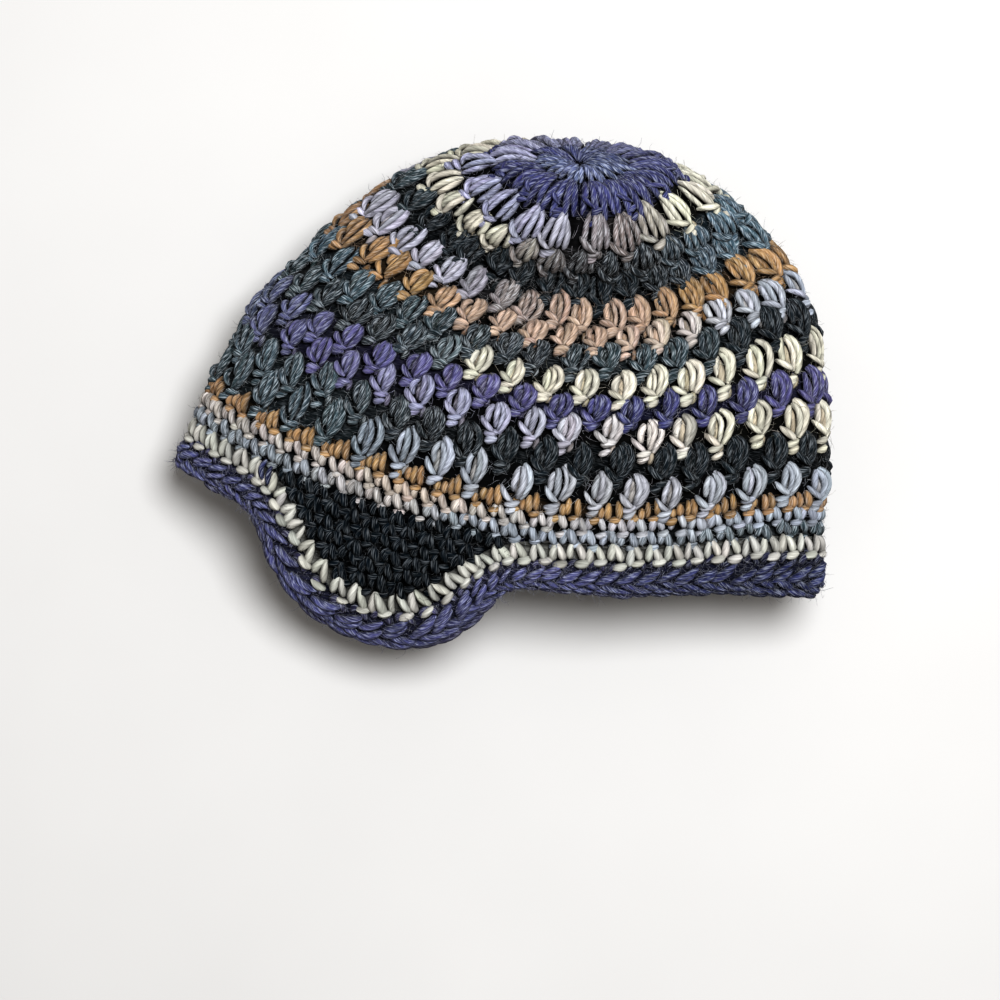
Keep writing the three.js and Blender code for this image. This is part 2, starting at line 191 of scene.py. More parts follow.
def girth_at(along):
    """The length of the way around the hat."""
    return np.interp(along, np.arange(len(CLOTH_GIRTH)) * GRID_STEP, CLOTH_GIRTH)


# Rounds from the crown down: how many puffs, and where the round ends.
ROUNDS = [
    [8, 12.5], [14, 24], [20, 36], [26, 47.5], [32, 59], [36, 71], [36, 82.5],
    [36, 94], [36, 106], [36, 117.5], [36, 129], [36, 141], [36, 152.5],
]
STAR_ROUNDS = range(0, 2)
CROWN_ROUNDS = range(2, 6)
BODY_ROUNDS = range(6, 13)
BAND_START = ROUNDS[-1][1]
PLAIN_ROUNDS = 3
PLAIN_HEIGHT = 5.4
BAND_END = BAND_START + PLAIN_ROUNDS * PLAIN_HEIGHT
BODY_PUFFS = 36
STITCHES = 72
STITCH_PLACES = (np.arange(STITCHES) + 0.5) / STITCHES
BRIM_GIRTH = 518.0

# Ear flaps and the rim that follows their outline.
FLAP_FRONT_SIDE = 19.25
FLAP_BACK_SIDE = 27.2
FLAP_DEPTH = 32.5
FLAP_CENTRE = 0.5 * (FLAP_FRONT_SIDE + FLAP_BACK_SIDE) / STITCHES
FLAP_HALF_TURN = 0.09
FLAP_ROW_HEIGHT = 5.2
TRIM_START = 0.4
TRIM_END = 5.7
EDGING_START = 6.0
EDGING_END = 18.4
RIM_STITCH = 7.1
RIM_SAMPLES = 2001
STEP_TURN = 0.002
FOLD_GROWTH = 0.28
FOLD_REACH = 0.055
FOLD_TURN = 0.008


def flap_depth(place):
    """How far the outline of the ear flaps lies below the band."""
    turn = np.asarray(place, float) % 1.0
    stitch = np.minimum(turn, 1 - turn) * STITCHES
    front = 1 / (1 + np.exp(FLAP_FRONT_SIDE - stitch))
    back = 1 / (1 + np.exp(stitch - FLAP_BACK_SIDE))
    return FLAP_DEPTH * (front + back - 1)


def outline_slope(place):
    """How steeply the outline goes down, in millimetres for each millimetre around."""
    rise = flap_depth(place + STEP_TURN) - flap_depth(place - STEP_TURN)
    return rise / (2 * STEP_TURN * BRIM_GIRTH)


def fold_growth(place):
    """Near the front fold the edging is wider on the upper side and narrower underneath."""
    from_fold = (np.asarray(place, float) + 0.5) % 1.0 - 0.5
    nearness = np.exp(-(from_fold / FOLD_REACH) ** 2)
    return 1 + FOLD_GROWTH * nearness * np.tanh(from_fold / FOLD_TURN)


def beyond_outline(place, distance):
    """Place and along of a spot at a distance beyond the rim's outline, square to it."""
    slope = outline_slope(place)
    size = np.hypot(1, slope)
    distance = distance + (fold_growth(place) - 1) * np.maximum(distance - EDGING_START, 0)
    along = BAND_END + flap_depth(place) + distance / size
    return place - distance * slope / size / BRIM_GIRTH, along


def rim_places():
    """Places of the rim's stitches, evenly spaced along its outline."""
    fine = np.linspace(0, 1, RIM_SAMPLES)
    pace = BRIM_GIRTH * np.hypot(1, outline_slope(fine))
    length = np.concatenate([[0], np.cumsum((pace[1:] + pace[:-1]) / 2 * np.diff(fine))])
    count = int(round(length[-1] / RIM_STITCH))
    return np.interp((np.arange(count) + 0.5) / count * length[-1], length, fine)


# Wool colours, and how strongly lighter and darker fibres mix in each (its heather).
WOOL = {
    "indigo": ("#3f4168", 0.65),
    "indigo grey": ("#4b526f", 0.8),
    "dusk": ("#5d6583", 0.8),
    "violet": ("#59567d", 0.6),
    "violet grey": ("#5a6178", 0.85),
    "lilac": ("#9192a9", 0.6),
    "lavender": ("#9d9da9", 0.45),
    "ash": ("#a4a6ac", 0.35),
    "steel": ("#969da7", 0.4),
    "fog": ("#a8a29d", 0.6),
    "smoke": ("#7d848b", 0.95),
    "slate": ("#4d606b", 1.0),
    "teal": ("#3a484d", 1.0),
    "moss": ("#455259", 1.0),
    "charcoal": ("#2b3034", 0.85),
    "black": ("#182025", 0.48),
    "night": ("#0c1217", 0.2),
    "cream": ("#bbb9ac", 0.1),
    "ivory": ("#acaca6", 0.1),
    "pale": ("#c3bebb", 0.25),
    "mauve": ("#78716f", 0.8),
    "beige": ("#b0a499", 0.3),
    "tan": ("#a69283", 0.4),
    "orange": ("#967b59", 0.45),
    "brown": ("#8f755b", 0.5),
    "plum": ("#515379", 0.75),
    "deep plum": ("#343859", 0.7),
    "flap black": ("#0f1920", 0.5),
}

# Wools of each round from the back fold over the upper side, each with its places in hundredths
# of a turn: 0 back fold, 25 top, 50 front fold. Underneath, each round runs to the next one's start.
PUFF_COLOURS = [
    [("indigo grey", 0), ("dusk", 12, 38), ("indigo grey", 50)],
    [("indigo", 0, 50)],
    [("lilac", 0, 14), ("lavender", 22), ("mauve", 30, 36), ("cream", 40, 50)],
    [("cream", 0, 16), ("mauve", 20), ("charcoal", 28, 37), ("slate", 44, 50)],
    [("teal", 0), ("black", 8, 33), ("charcoal", 38), ("slate", 44, 50)],
    [("lavender", 0, 14), ("mauve", 20), ("tan", 26, 32), ("orange", 38, 50)],
    [("brown", 0), ("orange", 9, 13), ("tan", 18, 30), ("beige", 36), ("ash", 40), ("steel", 50)],
    [("slate", 0), ("teal", 14), ("charcoal", 24), ("teal", 34), ("black", 42, 50)],
    [("teal", 0), ("charcoal", 12), ("moss", 18), ("cream", 19.5, 50)],
    [("violet grey", 0), ("violet", 12, 24), ("indigo", 34), ("violet", 50)],
    [("violet grey", 0), ("violet", 10), ("lilac", 20), ("lavender", 28), ("pale", 34),
     ("cream", 40, 50)],
    [("moss", 0, 10), ("charcoal", 18), ("black", 26, 50)],
    [("teal", 0), ("moss", 8), ("teal", 14), ("steel", 17), ("ash", 34), ("steel", 50)],
]
PLAIN_COLOURS = [
    [("brown", 0), ("orange", 8, 42), ("brown", 50)],
    [("fog", 0, 15), ("beige", 20), ("fog", 26), ("ash", 38), ("steel", 44, 50)],
    [("smoke", 0, 12), ("fog", 20), ("smoke", 24), ("steel", 32), ("smoke", 40), ("teal", 50)],
]
FLAP_COLOURS = [("flap black", 0), ("night", 50)]
TRIM_COLOURS = [("ivory", 0, 50)]
EDGING_COLOURS = [("plum", 0, 30), ("deep plum", 42, 50)]


def linear(hex_colour):
    """Red, green and blue as linear light, from the usual hex form."""
    values = np.array([int(hex_colour[i:i + 2], 16) for i in (1, 3, 5)]) / 255
    return np.where(values <= 0.04045, values / 12.92, ((values + 0.055) / 1.055) ** 2.4)


def wool_row(name):
    """A wool's red, green, blue and heather."""
    hex_colour, heather = WOOL[name]
    return np.concatenate([linear(hex_colour), [heather]])


def colours_along(stops, place, next_stops=None):
    """Wool at places of a round, which runs to the next round's start or back to its own."""
    full = [(mark, name) for name, *places in stops for mark in places]
    full.append((100, (next_stops or stops)[0][0]))
    marks = np.array([mark for mark, name in full]) / 100
    rows = np.array([wool_row(name) for mark, name in full])
    progress = (0.5 - np.asarray(place)) % 1.0
    return np.stack([np.interp(progress, marks, rows[:, i]) for i in range(4)], axis=-1)


ALL_ROUND_COLOURS = PUFF_COLOURS + PLAIN_COLOURS
ALL_ROUND_ENDS = [end for puffs, end in ROUNDS]
ALL_ROUND_ENDS += [BAND_START + PLAIN_HEIGHT * (i + 1) for i in range(PLAIN_ROUNDS)]
LAST_ROUND = len(ALL_ROUND_ENDS) - 1


def round_at(along):
    """The round that lies at a distance from the crown."""
    return np.minimum(np.searchsorted(ALL_ROUND_ENDS, along), LAST_ROUND)


def round_colours(index, place):
    following = ALL_ROUND_COLOURS[min(index + 1, LAST_ROUND)]
    return colours_along(ALL_ROUND_COLOURS[index], place, following)


# Yarn.
STRAND_POINTS = 8
SHORT_POINTS = 6
FUZZ_POINTS = 4
STRAND_SIDES = 6
INNER_SIDES = 4
FUZZ_SIDES = 3
NO_FACES = np.zeros(0, dtype=int)
FLATNESS = 0.94
PRESSED_BELOW = 9.0
LEAST_PRESS = 0.2
CAP_LENGTH = 0.55
REST_SHARE = 0.7
END_ROUNDNESS = 0.55
TRAVEL_RANGE = 900
FIBRE_TURN = 0.42
# Painted shade on the flanks of every strand and a painted highlight on its top: where the shade
# starts, how dark it gets and how light the top is.
PAINTED_SHADE_START = 0.08
PAINTED_FLANK_SHADE = (0.09, 0.08, 0.08)
PAINTED_TOP_HIGHLIGHT = 1.17


def curve_through(start, middle, end, count):
    """Points of a smooth curve from start to end that passes the middle point half-way."""
    start, middle, end = (np.asarray(p, float) for p in (start, middle, end))
    control = 2 * middle - 0.5 * (start + end)
    t = np.linspace(0, 1, count)[:, None]
    return (1 - t) ** 2 * start + 2 * t * (1 - t) * control + t ** 2 * end


def round_ends(count, thin):
    """Radius factors of a strand that is full in the middle and thin at its two ends."""
    t = np.linspace(0, 1, count)
    return thin + (1 - thin) * np.sin(math.pi * t) ** END_ROUNDNESS


def fibre_uv(travel, around):
    """The way along a strand and the way around it, which turns as the strand goes on."""
    return np.stack([travel, around + travel * FIBRE_TURN], axis=-1)


def add_object(name, data):
    thing = bpy.data.objects.new(name, data)
    bpy.context.scene.collection.objects.link(thing)
    return thing


class Yarn:
    """Collects tubes and walls, and makes one mesh of them."""

    def __init__(self, seed):
        self.random = np.random.default_rng(seed)
        self.blocks = []
        self.total = 0

    def add_block(self, points, colours, quads, quad_uvs, triangles=NO_FACES, triangle_uvs=NO_FACES):
        """Keeps points and faces, with the faces' corners counted on from the earlier blocks."""
        points = points.reshape(-1, 3)
        quads = quads.reshape(-1, 4) + self.total
        triangles = triangles.reshape(-1, 3) + self.total
        uvs = (quad_uvs.reshape(-1, 2), triangle_uvs.reshape(-1, 2))
        self.blocks.append((points, colours.reshape(-1, 4), quads, triangles, *uvs))
        self.total += len(points)

    def add_tubes(self, centres, normals, radii, colours, sides):
        """Closed tubes along rows of centres (strands x points x 3), coloured by strand, with painted
        shade on their flanks and a painted highlight on their tops.
        """
        strands, count = radii.shape
        centres = centres.copy()
        centres[..., 2] = np.maximum(centres[..., 2], radii * REST_SHARE)
        along = unit(np.gradient(centres, axis=1))
        across = unit(np.cross(along, normals))
        outward = np.cross(across, along)
        angles = np.arange(sides) * 2 * math.pi / sides
        ring_across = np.sin(angles)[:, None] * across[:, :, None, :]
        ring_out = -np.cos(angles)[:, None] * outward[:, :, None, :] * FLATNESS
        rings = centres[:, :, None, :] + radii[:, :, None, None] * (ring_across + ring_out)
        first = centres[:, 0] - along[:, 0] * radii[:, :1] * CAP_LENGTH
        last = centres[:, -1] + along[:, -1] * radii[:, -1:] * CAP_LENGTH
        poles = np.stack([first, last], axis=1)
        points = np.concatenate([rings.reshape(strands, -1, 3), poles], axis=1)
        points[..., 2] = np.maximum(points[..., 2], 0)
        lengths = np.linalg.norm(np.diff(centres, axis=1), axis=2)
        travel = np.concatenate([np.zeros((strands, 1)), np.cumsum(lengths, axis=1)], axis=1)
        travel += self.random.uniform(0, TRAVEL_RANGE, (strands, 1))
        girth = 2 * math.pi * radii.mean(axis=1)[:, None]
        base = (np.arange(strands) * (count * sides + 2))[:, None, None]
        i, j = np.meshgrid(np.arange(count - 1), np.arange(sides), indexing="ij")
        corners = [(i, j), (i, j + 1), (i + 1, j + 1), (i + 1, j)]
        corners = [(ring.ravel(), side.ravel()) for ring, side in corners]
        quads = np.stack([ring * sides + side % sides for ring, side in corners], axis=-1)
        quad_uvs = [fibre_uv(travel[:, ring], girth * (side / sides)) for ring, side in corners]
        j = np.arange(sides)
        k = (j + 1) % sides
        end = (count - 1) * sides
        top = np.stack([np.full(sides, count * sides), k, j], axis=-1)
        bottom = np.stack([np.full(sides, count * sides + 1), end + j, end + k], axis=-1)
        triangles = np.concatenate([top, bottom]) + base
        end_uvs = [fibre_uv(travel[:, [ring] * sides], girth * (j / sides)) for ring in (0, -1)]
        triangle_uvs = np.concatenate(end_uvs, axis=1)[:, :, None, :].repeat(3, axis=2)
        # Painted shade on the sides of each ring that face away from the normal, and a painted
        # highlight on the side that faces it.
        facing = np.clip((PAINTED_SHADE_START - np.cos(angles)) / (PAINTED_SHADE_START + 1), 0, 1)
        painted_shade_and_highlight = np.ones((sides, 4))
        painted_shade_and_highlight[:, :3] = PAINTED_FLANK_SHADE + (PAINTED_TOP_HIGHLIGHT - np.array(PAINTED_FLANK_SHADE)) * facing[:, None]
        ring_colours = np.tile(colours[:, None, :] * painted_shade_and_highlight, (1, count, 1))
        all_colours = np.concatenate([ring_colours, colours[:, None].repeat(2, axis=1)], axis=1)
        self.add_block(points, all_colours, quads + base, np.stack(quad_uvs, axis=2), triangles,
                       triangle_uvs)

    def add_wall(self, outer, inner, colours, inner_colours, open_ends):
        """A closed wall between two grids of points (rows x columns x 3).
        A wall without open ends closes around the hat, its last column meeting its first."""
        rows, columns = outer.shape[:2]
        points = np.concatenate([outer.reshape(-1, 3), inner.reshape(-1, 3)])
        points[:, 2] = np.maximum(points[:, 2], 0)
        at = np.arange(rows * columns).reshape(rows, columns)
        if not open_ends:
            at = np.concatenate([at, at[:, :1]], axis=1)
        inside = at + rows * columns

        def cells(grid, flip):
            quad = [grid[:-1, :-1], grid[:-1, 1:], grid[1:, 1:], grid[1:, :-1]]
            return np.stack(quad[::-1] if flip else quad, axis=-1).reshape(-1, 4)

        def strip(a, b):
            return np.stack([a[:-1], a[1:], b[1:], b[:-1]], axis=-1)

        faces = [cells(at, True), cells(inside, False)]
        faces.append(strip(inside[0], at[0]))
        faces.append(strip(at[-1], inside[-1]))
        if open_ends:
            faces.append(strip(at[:, 0], inside[:, 0]))
            faces.append(strip(inside[:, -1], at[:, -1]))
        quads = np.concatenate(faces)
        uvs = points[quads][..., :2]
        both = np.concatenate([colours.reshape(-1, 4), inner_colours.reshape(-1, 4)])
        self.add_block(points, both, quads, uvs)

    def make(self, name, wool, slot, node=None):
        """One mesh object of all that was added, attached to the root; where a solid is named, that
        solid is hidden.
        """
        joined = [np.concatenate(parts) for parts in zip(*self.blocks)]
        points, colours, quads, triangles, quad_uvs, triangle_uvs = joined
        corners = np.concatenate([quads.ravel(), triangles.ravel()])
        uvs = np.concatenate([quad_uvs, triangle_uvs])
        after_quads = len(quads) * 4 + np.arange(len(triangles)) * 3
        starts = np.concatenate([np.arange(len(quads)) * 4, after_quads])
        mesh = bpy.data.meshes.new(name)
        mesh.vertices.add(len(points))
        mesh.vertices.foreach_set("co", (points * MM).astype(np.float32).ravel())
        mesh.loops.add(len(corners))
        mesh.loops.foreach_set("vertex_index", corners.astype(np.int32))
        mesh.polygons.add(len(starts))
        mesh.polygons.foreach_set("loop_start", starts.astype(np.int32))
        mesh.polygons.foreach_set("use_smooth", np.ones(len(starts), dtype=bool))
        mesh.update(calc_edges=True)
        layer = mesh.uv_layers.new(name="fibre")
        layer.uv.foreach_set("vector", uvs.astype(np.float32).ravel())
        attribute = mesh.color_attributes.new("wool", "FLOAT_COLOR", "POINT")
        attribute.data.foreach_set("color", colours.astype(np.float32).ravel())
        mesh.validate()
        mesh.materials.append(wool[slot])
        piece = add_object(name, mesh)
        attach(piece, "root")
        if node:
            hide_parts(node)


# Stitches. A strand is given by its start, middle and end, its radius, and the share of it that is
# left at both ends. Points are side (towards the back fold), down (to the brim) and lift
# (outwards), in millimetres around the stitch's centre.
def strands_of(rows, count=SHORT_POINTS):
    """A stitch's template: the centre lines and the radii of its strands."""
    lines = [curve_through(start, middle, end, count) for start, middle, end, radius, thin in rows]
    radii = [radius * round_ends(count, thin) for start, middle, end, radius, thin in rows]
    return np.stack(lines), np.stack(radii)


# A full puff: a short strand on the left, a deep one, a middle one and a long one on the right.
FULL_PUFF = strands_of([
    ((2.4, -5.7, -0.3), (3.5, -2.2, 1.2), (2.4, 2.3, 0.2), 1.3, 0.6),
    ((1.5, -4.6, -1.0), (1.3, 0.0, 0.3), (0.7, 4.6, -0.4), 1.7, 0.6),
    ((1.9, -6.6, 0.0), (-0.3, -2.3, 2.3), (-0.4, 4.9, 0.8), 1.35, 0.7),
    ((1.0, -7.4, -0.3), (-2.9, -2.7, 1.9), (-1.5, 5.7, 0.5), 1.5, 0.7),
], STRAND_POINTS)
# Two strands bow out on the right over the whole height, the others stay to the left.
ARCHED_PUFF = strands_of([
    ((2.3, -5.5, -0.3), (3.1, -2.3, 1.0), (2.5, 2.0, 0.3), 1.3, 0.7),
    ((1.9, -6.3, -0.2), (0.9, -2.1, 1.7), (0.4, 4.2, 0.4), 1.25, 0.7),
    ((1.2, -7.0, 0.3), (-1.2, -2.4, 2.5), (-0.6, 5.3, 1.0), 1.25, 0.7),
    ((0.4, -7.4, -0.4), (-3.4, -2.3, 1.5), (-1.5, 5.9, 0.4), 1.4, 0.7),
], STRAND_POINTS)
# The same strands as in a full puff, drawn closer together.
NARROW_PUFF = strands_of([
    ((1.8, -5.8, -0.2), (2.8, -2.1, 1.3), (2.1, 3.0, 0.3), 1.35, 0.7),
    ((1.0, -4.8, -1.0), (0.8, 0.0, 0.3), (0.4, 4.6, -0.4), 1.5, 0.6),
    ((1.3, -6.5, 0.1), (-0.2, -1.9, 2.3), (0.0, 4.8, 0.8), 1.25, 0.7),
    ((0.6, -7.1, -0.2), (-2.6, -2.0, 1.8), (-1.4, 5.8, 0.5), 1.45, 0.7),
], STRAND_POINTS)
# A puff near the crown: narrow towards the centre and wide at its foot.
SPREAD_PUFF = strands_of([
    ((0.8, -6.4, -0.6), (3.0, -1.6, 1.0), (3.5, 4.6, 0.4), 1.32, 0.5),
    ((0.3, -7.0, -0.2), (1.0, -1.2, 2.3), (1.2, 5.4, 0.9), 1.25, 0.5),
    ((-0.4, -6.9, -0.3), (-1.3, -1.0, 2.2), (-1.3, 5.5, 0.9), 1.3, 0.5),
    ((-0.9, -6.2, -0.7), (-3.5, -1.2, 0.9), (-3.8, 4.4, 0.3), 1.34, 0.5),
], STRAND_POINTS)
# The strand hooked over a puff's foot, the two strands of its chain and the post below.
PUFF_FOOT = strands_of([
    ((5.5, 1.2, -0.1), (3.2, 3.7, 2.5), (0.3, 5.6, 1.9), 1.3, 0.5),
    ((3.0, 8.0, 0.0), (1.0, 7.2, 1.7), (-1.6, 6.2, 0.6), 1.45, 0.5),
    ((2.5, 10.4, -0.3), (1.1, 9.5, 1.4), (-0.9, 8.3, 0.5), 1.45, 0.5),
    ((-1.3, 5.6, -0.9), (-1.9, 8.0, -0.6), (-1.4, 10.6, -1.4), 1.2, 0.5),
])
# Single crochet: an upright leg, a slanted leg and the top of the stitch below them.
PLAIN_STITCH = strands_of([
    ((2.3, -2.7, -0.4), (2.8, -0.7, 0.8), (2.5, 1.5, 0.0), 1.6, 0.72),
    ((0.5, -2.7, -0.3), (-0.5, -0.8, 1.0), (-1.7, 1.6, 0.0), 1.65, 0.72),
    ((-0.2, 3.8, -0.4), (-1.7, 3.1, 0.8), (-3.2, 2.6, -0.2), 1.5, 0.7),
])
PLAIN_LEGS = [part[:2] for part in PLAIN_STITCH]
PLAIN_TOP = [part[2:] for part in PLAIN_STITCH]
# The first plain round, worked into the gaps of the last puffs: four strands for each gap.
CLUSTER = strands_of([
    ((6.4, -0.6, -0.5), (6.3, 0.5, 0.6), (6.1, 1.7, -0.1), 1.5, 0.75),
    ((4.0, -1.5, -0.3), (3.9, 0.0, 0.9), (3.5, 1.6, -0.1), 1.5, 0.75),
    ((1.7, -3.6, -0.7), (1.3, -1.0, 1.1), (0.9, 2.0, 0.0), 1.42, 0.62),
    ((-0.6, -4.2, -0.7), (-1.3, -1.3, 1.3), (-2.1, 1.9, 0.0), 1.46, 0.62),
])
# The inside of a puff stitch: two upright strands over a level bar.
INNER_PUFF = strands_of([
    ((2.0, -4.5, 0.2), (2.6, 0.0, -0.6), (1.5, 4.0, 0.2), 1.3, 0.6),
    ((-2.0, -4.5, 0.2), (-2.6, 0.0, -0.6), (-1.5, 4.0, 0.2), 1.3, 0.6),
    ((6.2, 5.6, 0.2), (0.0, 5.0, -0.7), (-6.2, 5.6, 0.2), 1.4, 0.6),
])
# The inside of single crochet: a level bar and a short upright strand.
INNER_PLAIN = strands_of([
    ((2.9, 1.6, 0.2), (0.0, 1.0, -0.6), (-2.9, 1.6, 0.2), 1.2, 0.6),
    ((0.6, -2.2, 0.2), (0.0, -0.8, -0.4), (-0.4, 0.6, 0.2), 1.2, 0.6),
])

# How stitches vary from one to the next, the painted shade of deep strands, which lie under the
# others, and which strands lie inside the hat, where the painted flank shade and top highlight face
# inwards.
JITTER_SIDE = 0.4
JITTER_DOWN = 0.48
JITTER_LIFT = 0.22
JITTER_RADIUS = 0.085
JITTER_COLOUR = 0.11
TINT_SHARE = 0.12
DARKEST = 0.002
LIGHTEST = 0.95
DEEP_BELOW = 0.5
DEEP_PAINTED_SHADE = (0.74, 0.68, 0.6)
INSIDE_BELOW = -2.3
UNPRESSED_BELOW = -2.0
FAN_END = 60.0
LEAST_FAN = 0.35
MOST_FAN = 1.6


def pressed(base_height):
    """How much of the relief is left near the floor."""
    return np.clip(base_height / PRESSED_BELOW, LEAST_PRESS, 1)


def lifted(base, normal, lift):
    """Points over the surface, of which those on the inside keep their depth near the floor."""
    height = lift[..., None]
    return base + normal * (height * np.where(height > UNPRESSED_BELOW, pressed(base[..., 2:]), 1))


def shade_colours(yarn, colours, amount):
    """Colours varied from strand to strand, with the heather kept."""
    factor = 1 + yarn.random.normal(0, amount, colours.shape[:-1] + (1,))
    tint = 1 + yarn.random.normal(0, amount * TINT_SHARE, colours.shape[:-1] + (3,))
    rgb = np.clip(colours[..., :3] * factor * tint, DARKEST, LIGHTEST)
    return np.concatenate([rgb, colours[..., 3:]], axis=-1)


def add_strands(yarn, centres, normals, radii, colours, sides=STRAND_SIDES):
    """Tubes for stitches x strands x points, each strand in a shade of its own."""
    count = centres.shape[2]
    colours = shade_colours(yarn, colours, JITTER_COLOUR).reshape(-1, 4)
    centres = centres.reshape(-1, count, 3)
    yarn.add_tubes(centres, normals.reshape(-1, count, 3), radii.reshape(-1, count), colours, sides)


def around_round(place, along, side, down):
    """Millimetres to places for stitches of the rounds. Near the crown's centre they fan out."""
    here = np.maximum(along + down, 1.0)
    fan = np.clip(here / np.maximum(along, 1), LEAST_FAN, MOST_FAN)
    girth = np.where(along < FAN_END, girth_at(np.minimum(along, FAN_END)) * fan, girth_at(along))
    return place + side / girth, here


def along_rim(place, distance, side, down):
    """Millimetres to places for stitches that follow the rim's outline."""
    pace = BRIM_GIRTH * np.hypot(1, outline_slope(place))
    return beyond_outline(place + side / pace, distance + down)


def lay_strands(yarn, template, spots, colours, base_lift=0.0, to_place=around_round, size=1.0,
                swell=None, sides=STRAND_SIDES):
    """Lays a template at each spot. spots is (place, along) of each stitch, and to_place turns
    sides and downs in millimetres into places and alongs of the surface. swell makes the
    strands of single stitches thicker or thinner."""
    lines, radii = template
    place, along = spots
    strands, count = radii.shape
    shape = (len(place), strands, 1)
    random = yarn.random
    side = lines[..., 0] * size + random.normal(0, JITTER_SIDE, shape)
    down = lines[..., 1] * size + random.normal(0, JITTER_DOWN, shape)
    lift = lines[..., 2] + base_lift + random.normal(0, JITTER_LIFT, shape)
    radius = radii * size * (1 + random.normal(0, JITTER_RADIUS, shape))
    if swell is not None:
        radius = radius * swell[:, None, None]
    spot_place, spot_along = to_place(place[:, None, None], along[:, None, None], side, down)
    base, normal = on_cloth(spot_place, spot_along)
    centres = lifted(base, normal, lift)
    middle_lift = lines[:, count // 2, 2]
    inside = middle_lift + base_lift < INSIDE_BELOW
    # Strands inside the hat turn their painted top highlight and flank shade inwards.
    normal[:, inside] *= -1
    colours = np.repeat(colours[:, None, :], strands, axis=1)
    # Deep strands, which lie under the others, get painted shade.
    colours[:, (middle_lift < DEEP_BELOW) & ~inside, :3] *= DEEP_PAINTED_SHADE
    add_strands(yarn, centres, normal, radius, colours, sides)


def spots_at(places, along):
    """Spots of stitches that all lie at one distance."""
    return places, np.full(len(places), along)


def round_centre(index):
    start = ROUNDS[index - 1][1] if index else 0.0
    return 0.5 * (start + ROUNDS[index][1])


def round_places(index):
    """Places of a round's puffs, shifted by half a puff in every other round."""
    puffs = ROUNDS[index][0]
    shift = 0.5 if index % 2 == 0 else 0.0
    return (np.arange(puffs) + shift) / puffs


# The fabric under the strands: a closed wall, painted dark on its outside as the shade between
# the stitches, and darker on its inside as the shade inside the hat.
# How light the wool is, and how dark the core's outside is painted under it, as shade between the
# stitches.
CORE_LIGHTS = (0.03, 0.12, 0.3)
CORE_PAINTED_SHADE = (0.24, 0.14, 0.01)
# How dark the inner side of the walls is painted, as the shade inside the hat.
INSIDE_PAINTED_SHADE = 0.5
CORE_OUT = -1.9
CORE_IN = -3.4
CORE_WAVE = 0.45
CORE_WAVE_HEIGHT = 11.7
PLAIN_CORE_OUT = -1.3
PLAIN_CORE_IN = -2.4
CORE_COLUMNS = 216
CORE_STEP = 2.0
CORE_GAP = 0.1
INNER_LIFT = -3.9
PLAIN_INNER_LIFT = -2.7
# Strands on the inside of the hat are darkened as painted shade of the hat's inside, a little less for
# the flaps and trim.
INNER_STRAND_PAINTED_SHADE = 0.8
RIM_INNER_STRAND_PAINTED_SHADE = 0.9


def wall_points(place, along, lift):
    base, normal = on_cloth(place, along)
    return lifted(base, normal, np.broadcast_to(lift, place.shape))


def add_round_core(yarn, start, end, out_lift=CORE_OUT, in_lift=CORE_IN):
    """The fabric under the stitches, which shows between them. Its outside is painted dark as the
    shade between
    the stitches: under dark wool about a quarter as light as the wool, and under light wool nearly
    black.
    Its inside is painted darker as the shade inside the hat."""
    rows = max(int(round((end - start) / CORE_STEP)), 2)
    alongs = np.linspace(start, end, rows + 1)
    places = np.arange(CORE_COLUMNS) / CORE_COLUMNS
    place, along = np.meshgrid(places, alongs)
    wave = np.cos(2 * math.pi * place * BODY_PUFFS) * np.sin(math.pi * along / CORE_WAVE_HEIGHT)
    outer = wall_points(place, along, out_lift + wave * CORE_WAVE)
    inner = wall_points(place, along, in_lift)
    colours = np.stack([round_colours(index, places) for index in round_at(alongs)])
    # Painted shade: between the stitches on the wall's outside, and of the hat's inside on its inner
    # side.
    painted_core_shade = np.interp(colours[..., :3].mean(axis=-1, keepdims=True), CORE_LIGHTS, CORE_PAINTED_SHADE)
    yarn.add_wall(outer, inner, colours * painted_core_shade, colours * INSIDE_PAINTED_SHADE, open_ends=False)


PUFF_SHAPES = [FULL_PUFF, ARCHED_PUFF, NARROW_PUFF]
SPREAD_ROUNDS = range(2, 4)
PUFF_JITTER = 0.75


def add_puff_round(yarn, index):
    places = round_places(index)
    puffs = len(places)
    girth = girth_at(round_centre(index))
    places = places + yarn.random.normal(0, PUFF_JITTER, puffs) / girth
    alongs = round_centre(index) + yarn.random.normal(0, PUFF_JITTER, puffs)
    colours = round_colours(index, places)
    shapes = [SPREAD_PUFF] if index in SPREAD_ROUNDS else PUFF_SHAPES
    choice = yarn.random.integers(0, len(shapes), puffs)
    for order, shape in enumerate(shapes):
        kept = choice == order
        lay_strands(yarn, shape, (places[kept], alongs[kept]), colours[kept])
    spots = (places, alongs)
    lay_strands(yarn, PUFF_FOOT, spots, colours)
    # Painted shade of the hat's inside on the inner strands.
    lay_strands(yarn, INNER_PUFF, spots, colours * INNER_STRAND_PAINTED_SHADE, INNER_LIFT, sides=INNER_SIDES)


# Strands of the two star rounds: distance from the centre, width of a fan as a share of a puff's
# room, and radius, each at the strand's start and end.
STAR_SHAPES = [((1.4, 12.6), (0.3, 0.4), (0.62, 1.3)), ((10.6, 24.8), (0.22, 0.44), (1.1, 1.5))]
STAR_FANS = np.array([-1.0, -0.34, 0.32, 1.0])
STAR_BEND = 0.7
STAR_WANDER = 0.04
STAR_SCATTER = 0.03
STAR_UNEVEN = 0.7
STAR_SHORTER = 1.3
STAR_LIFT = 2.5
STAR_ARC = (0.06, 0.84)
STAR_SINK = 0.7
STAR_LIFT_JITTER = 0.25
STAR_WIDENING = 1.6
STAR_THIN = 0.5
STAR_CORE_START = 1.0
STAR_FOOT_RAISE = 0.8
STAR_FOOT_SIZE = 0.8


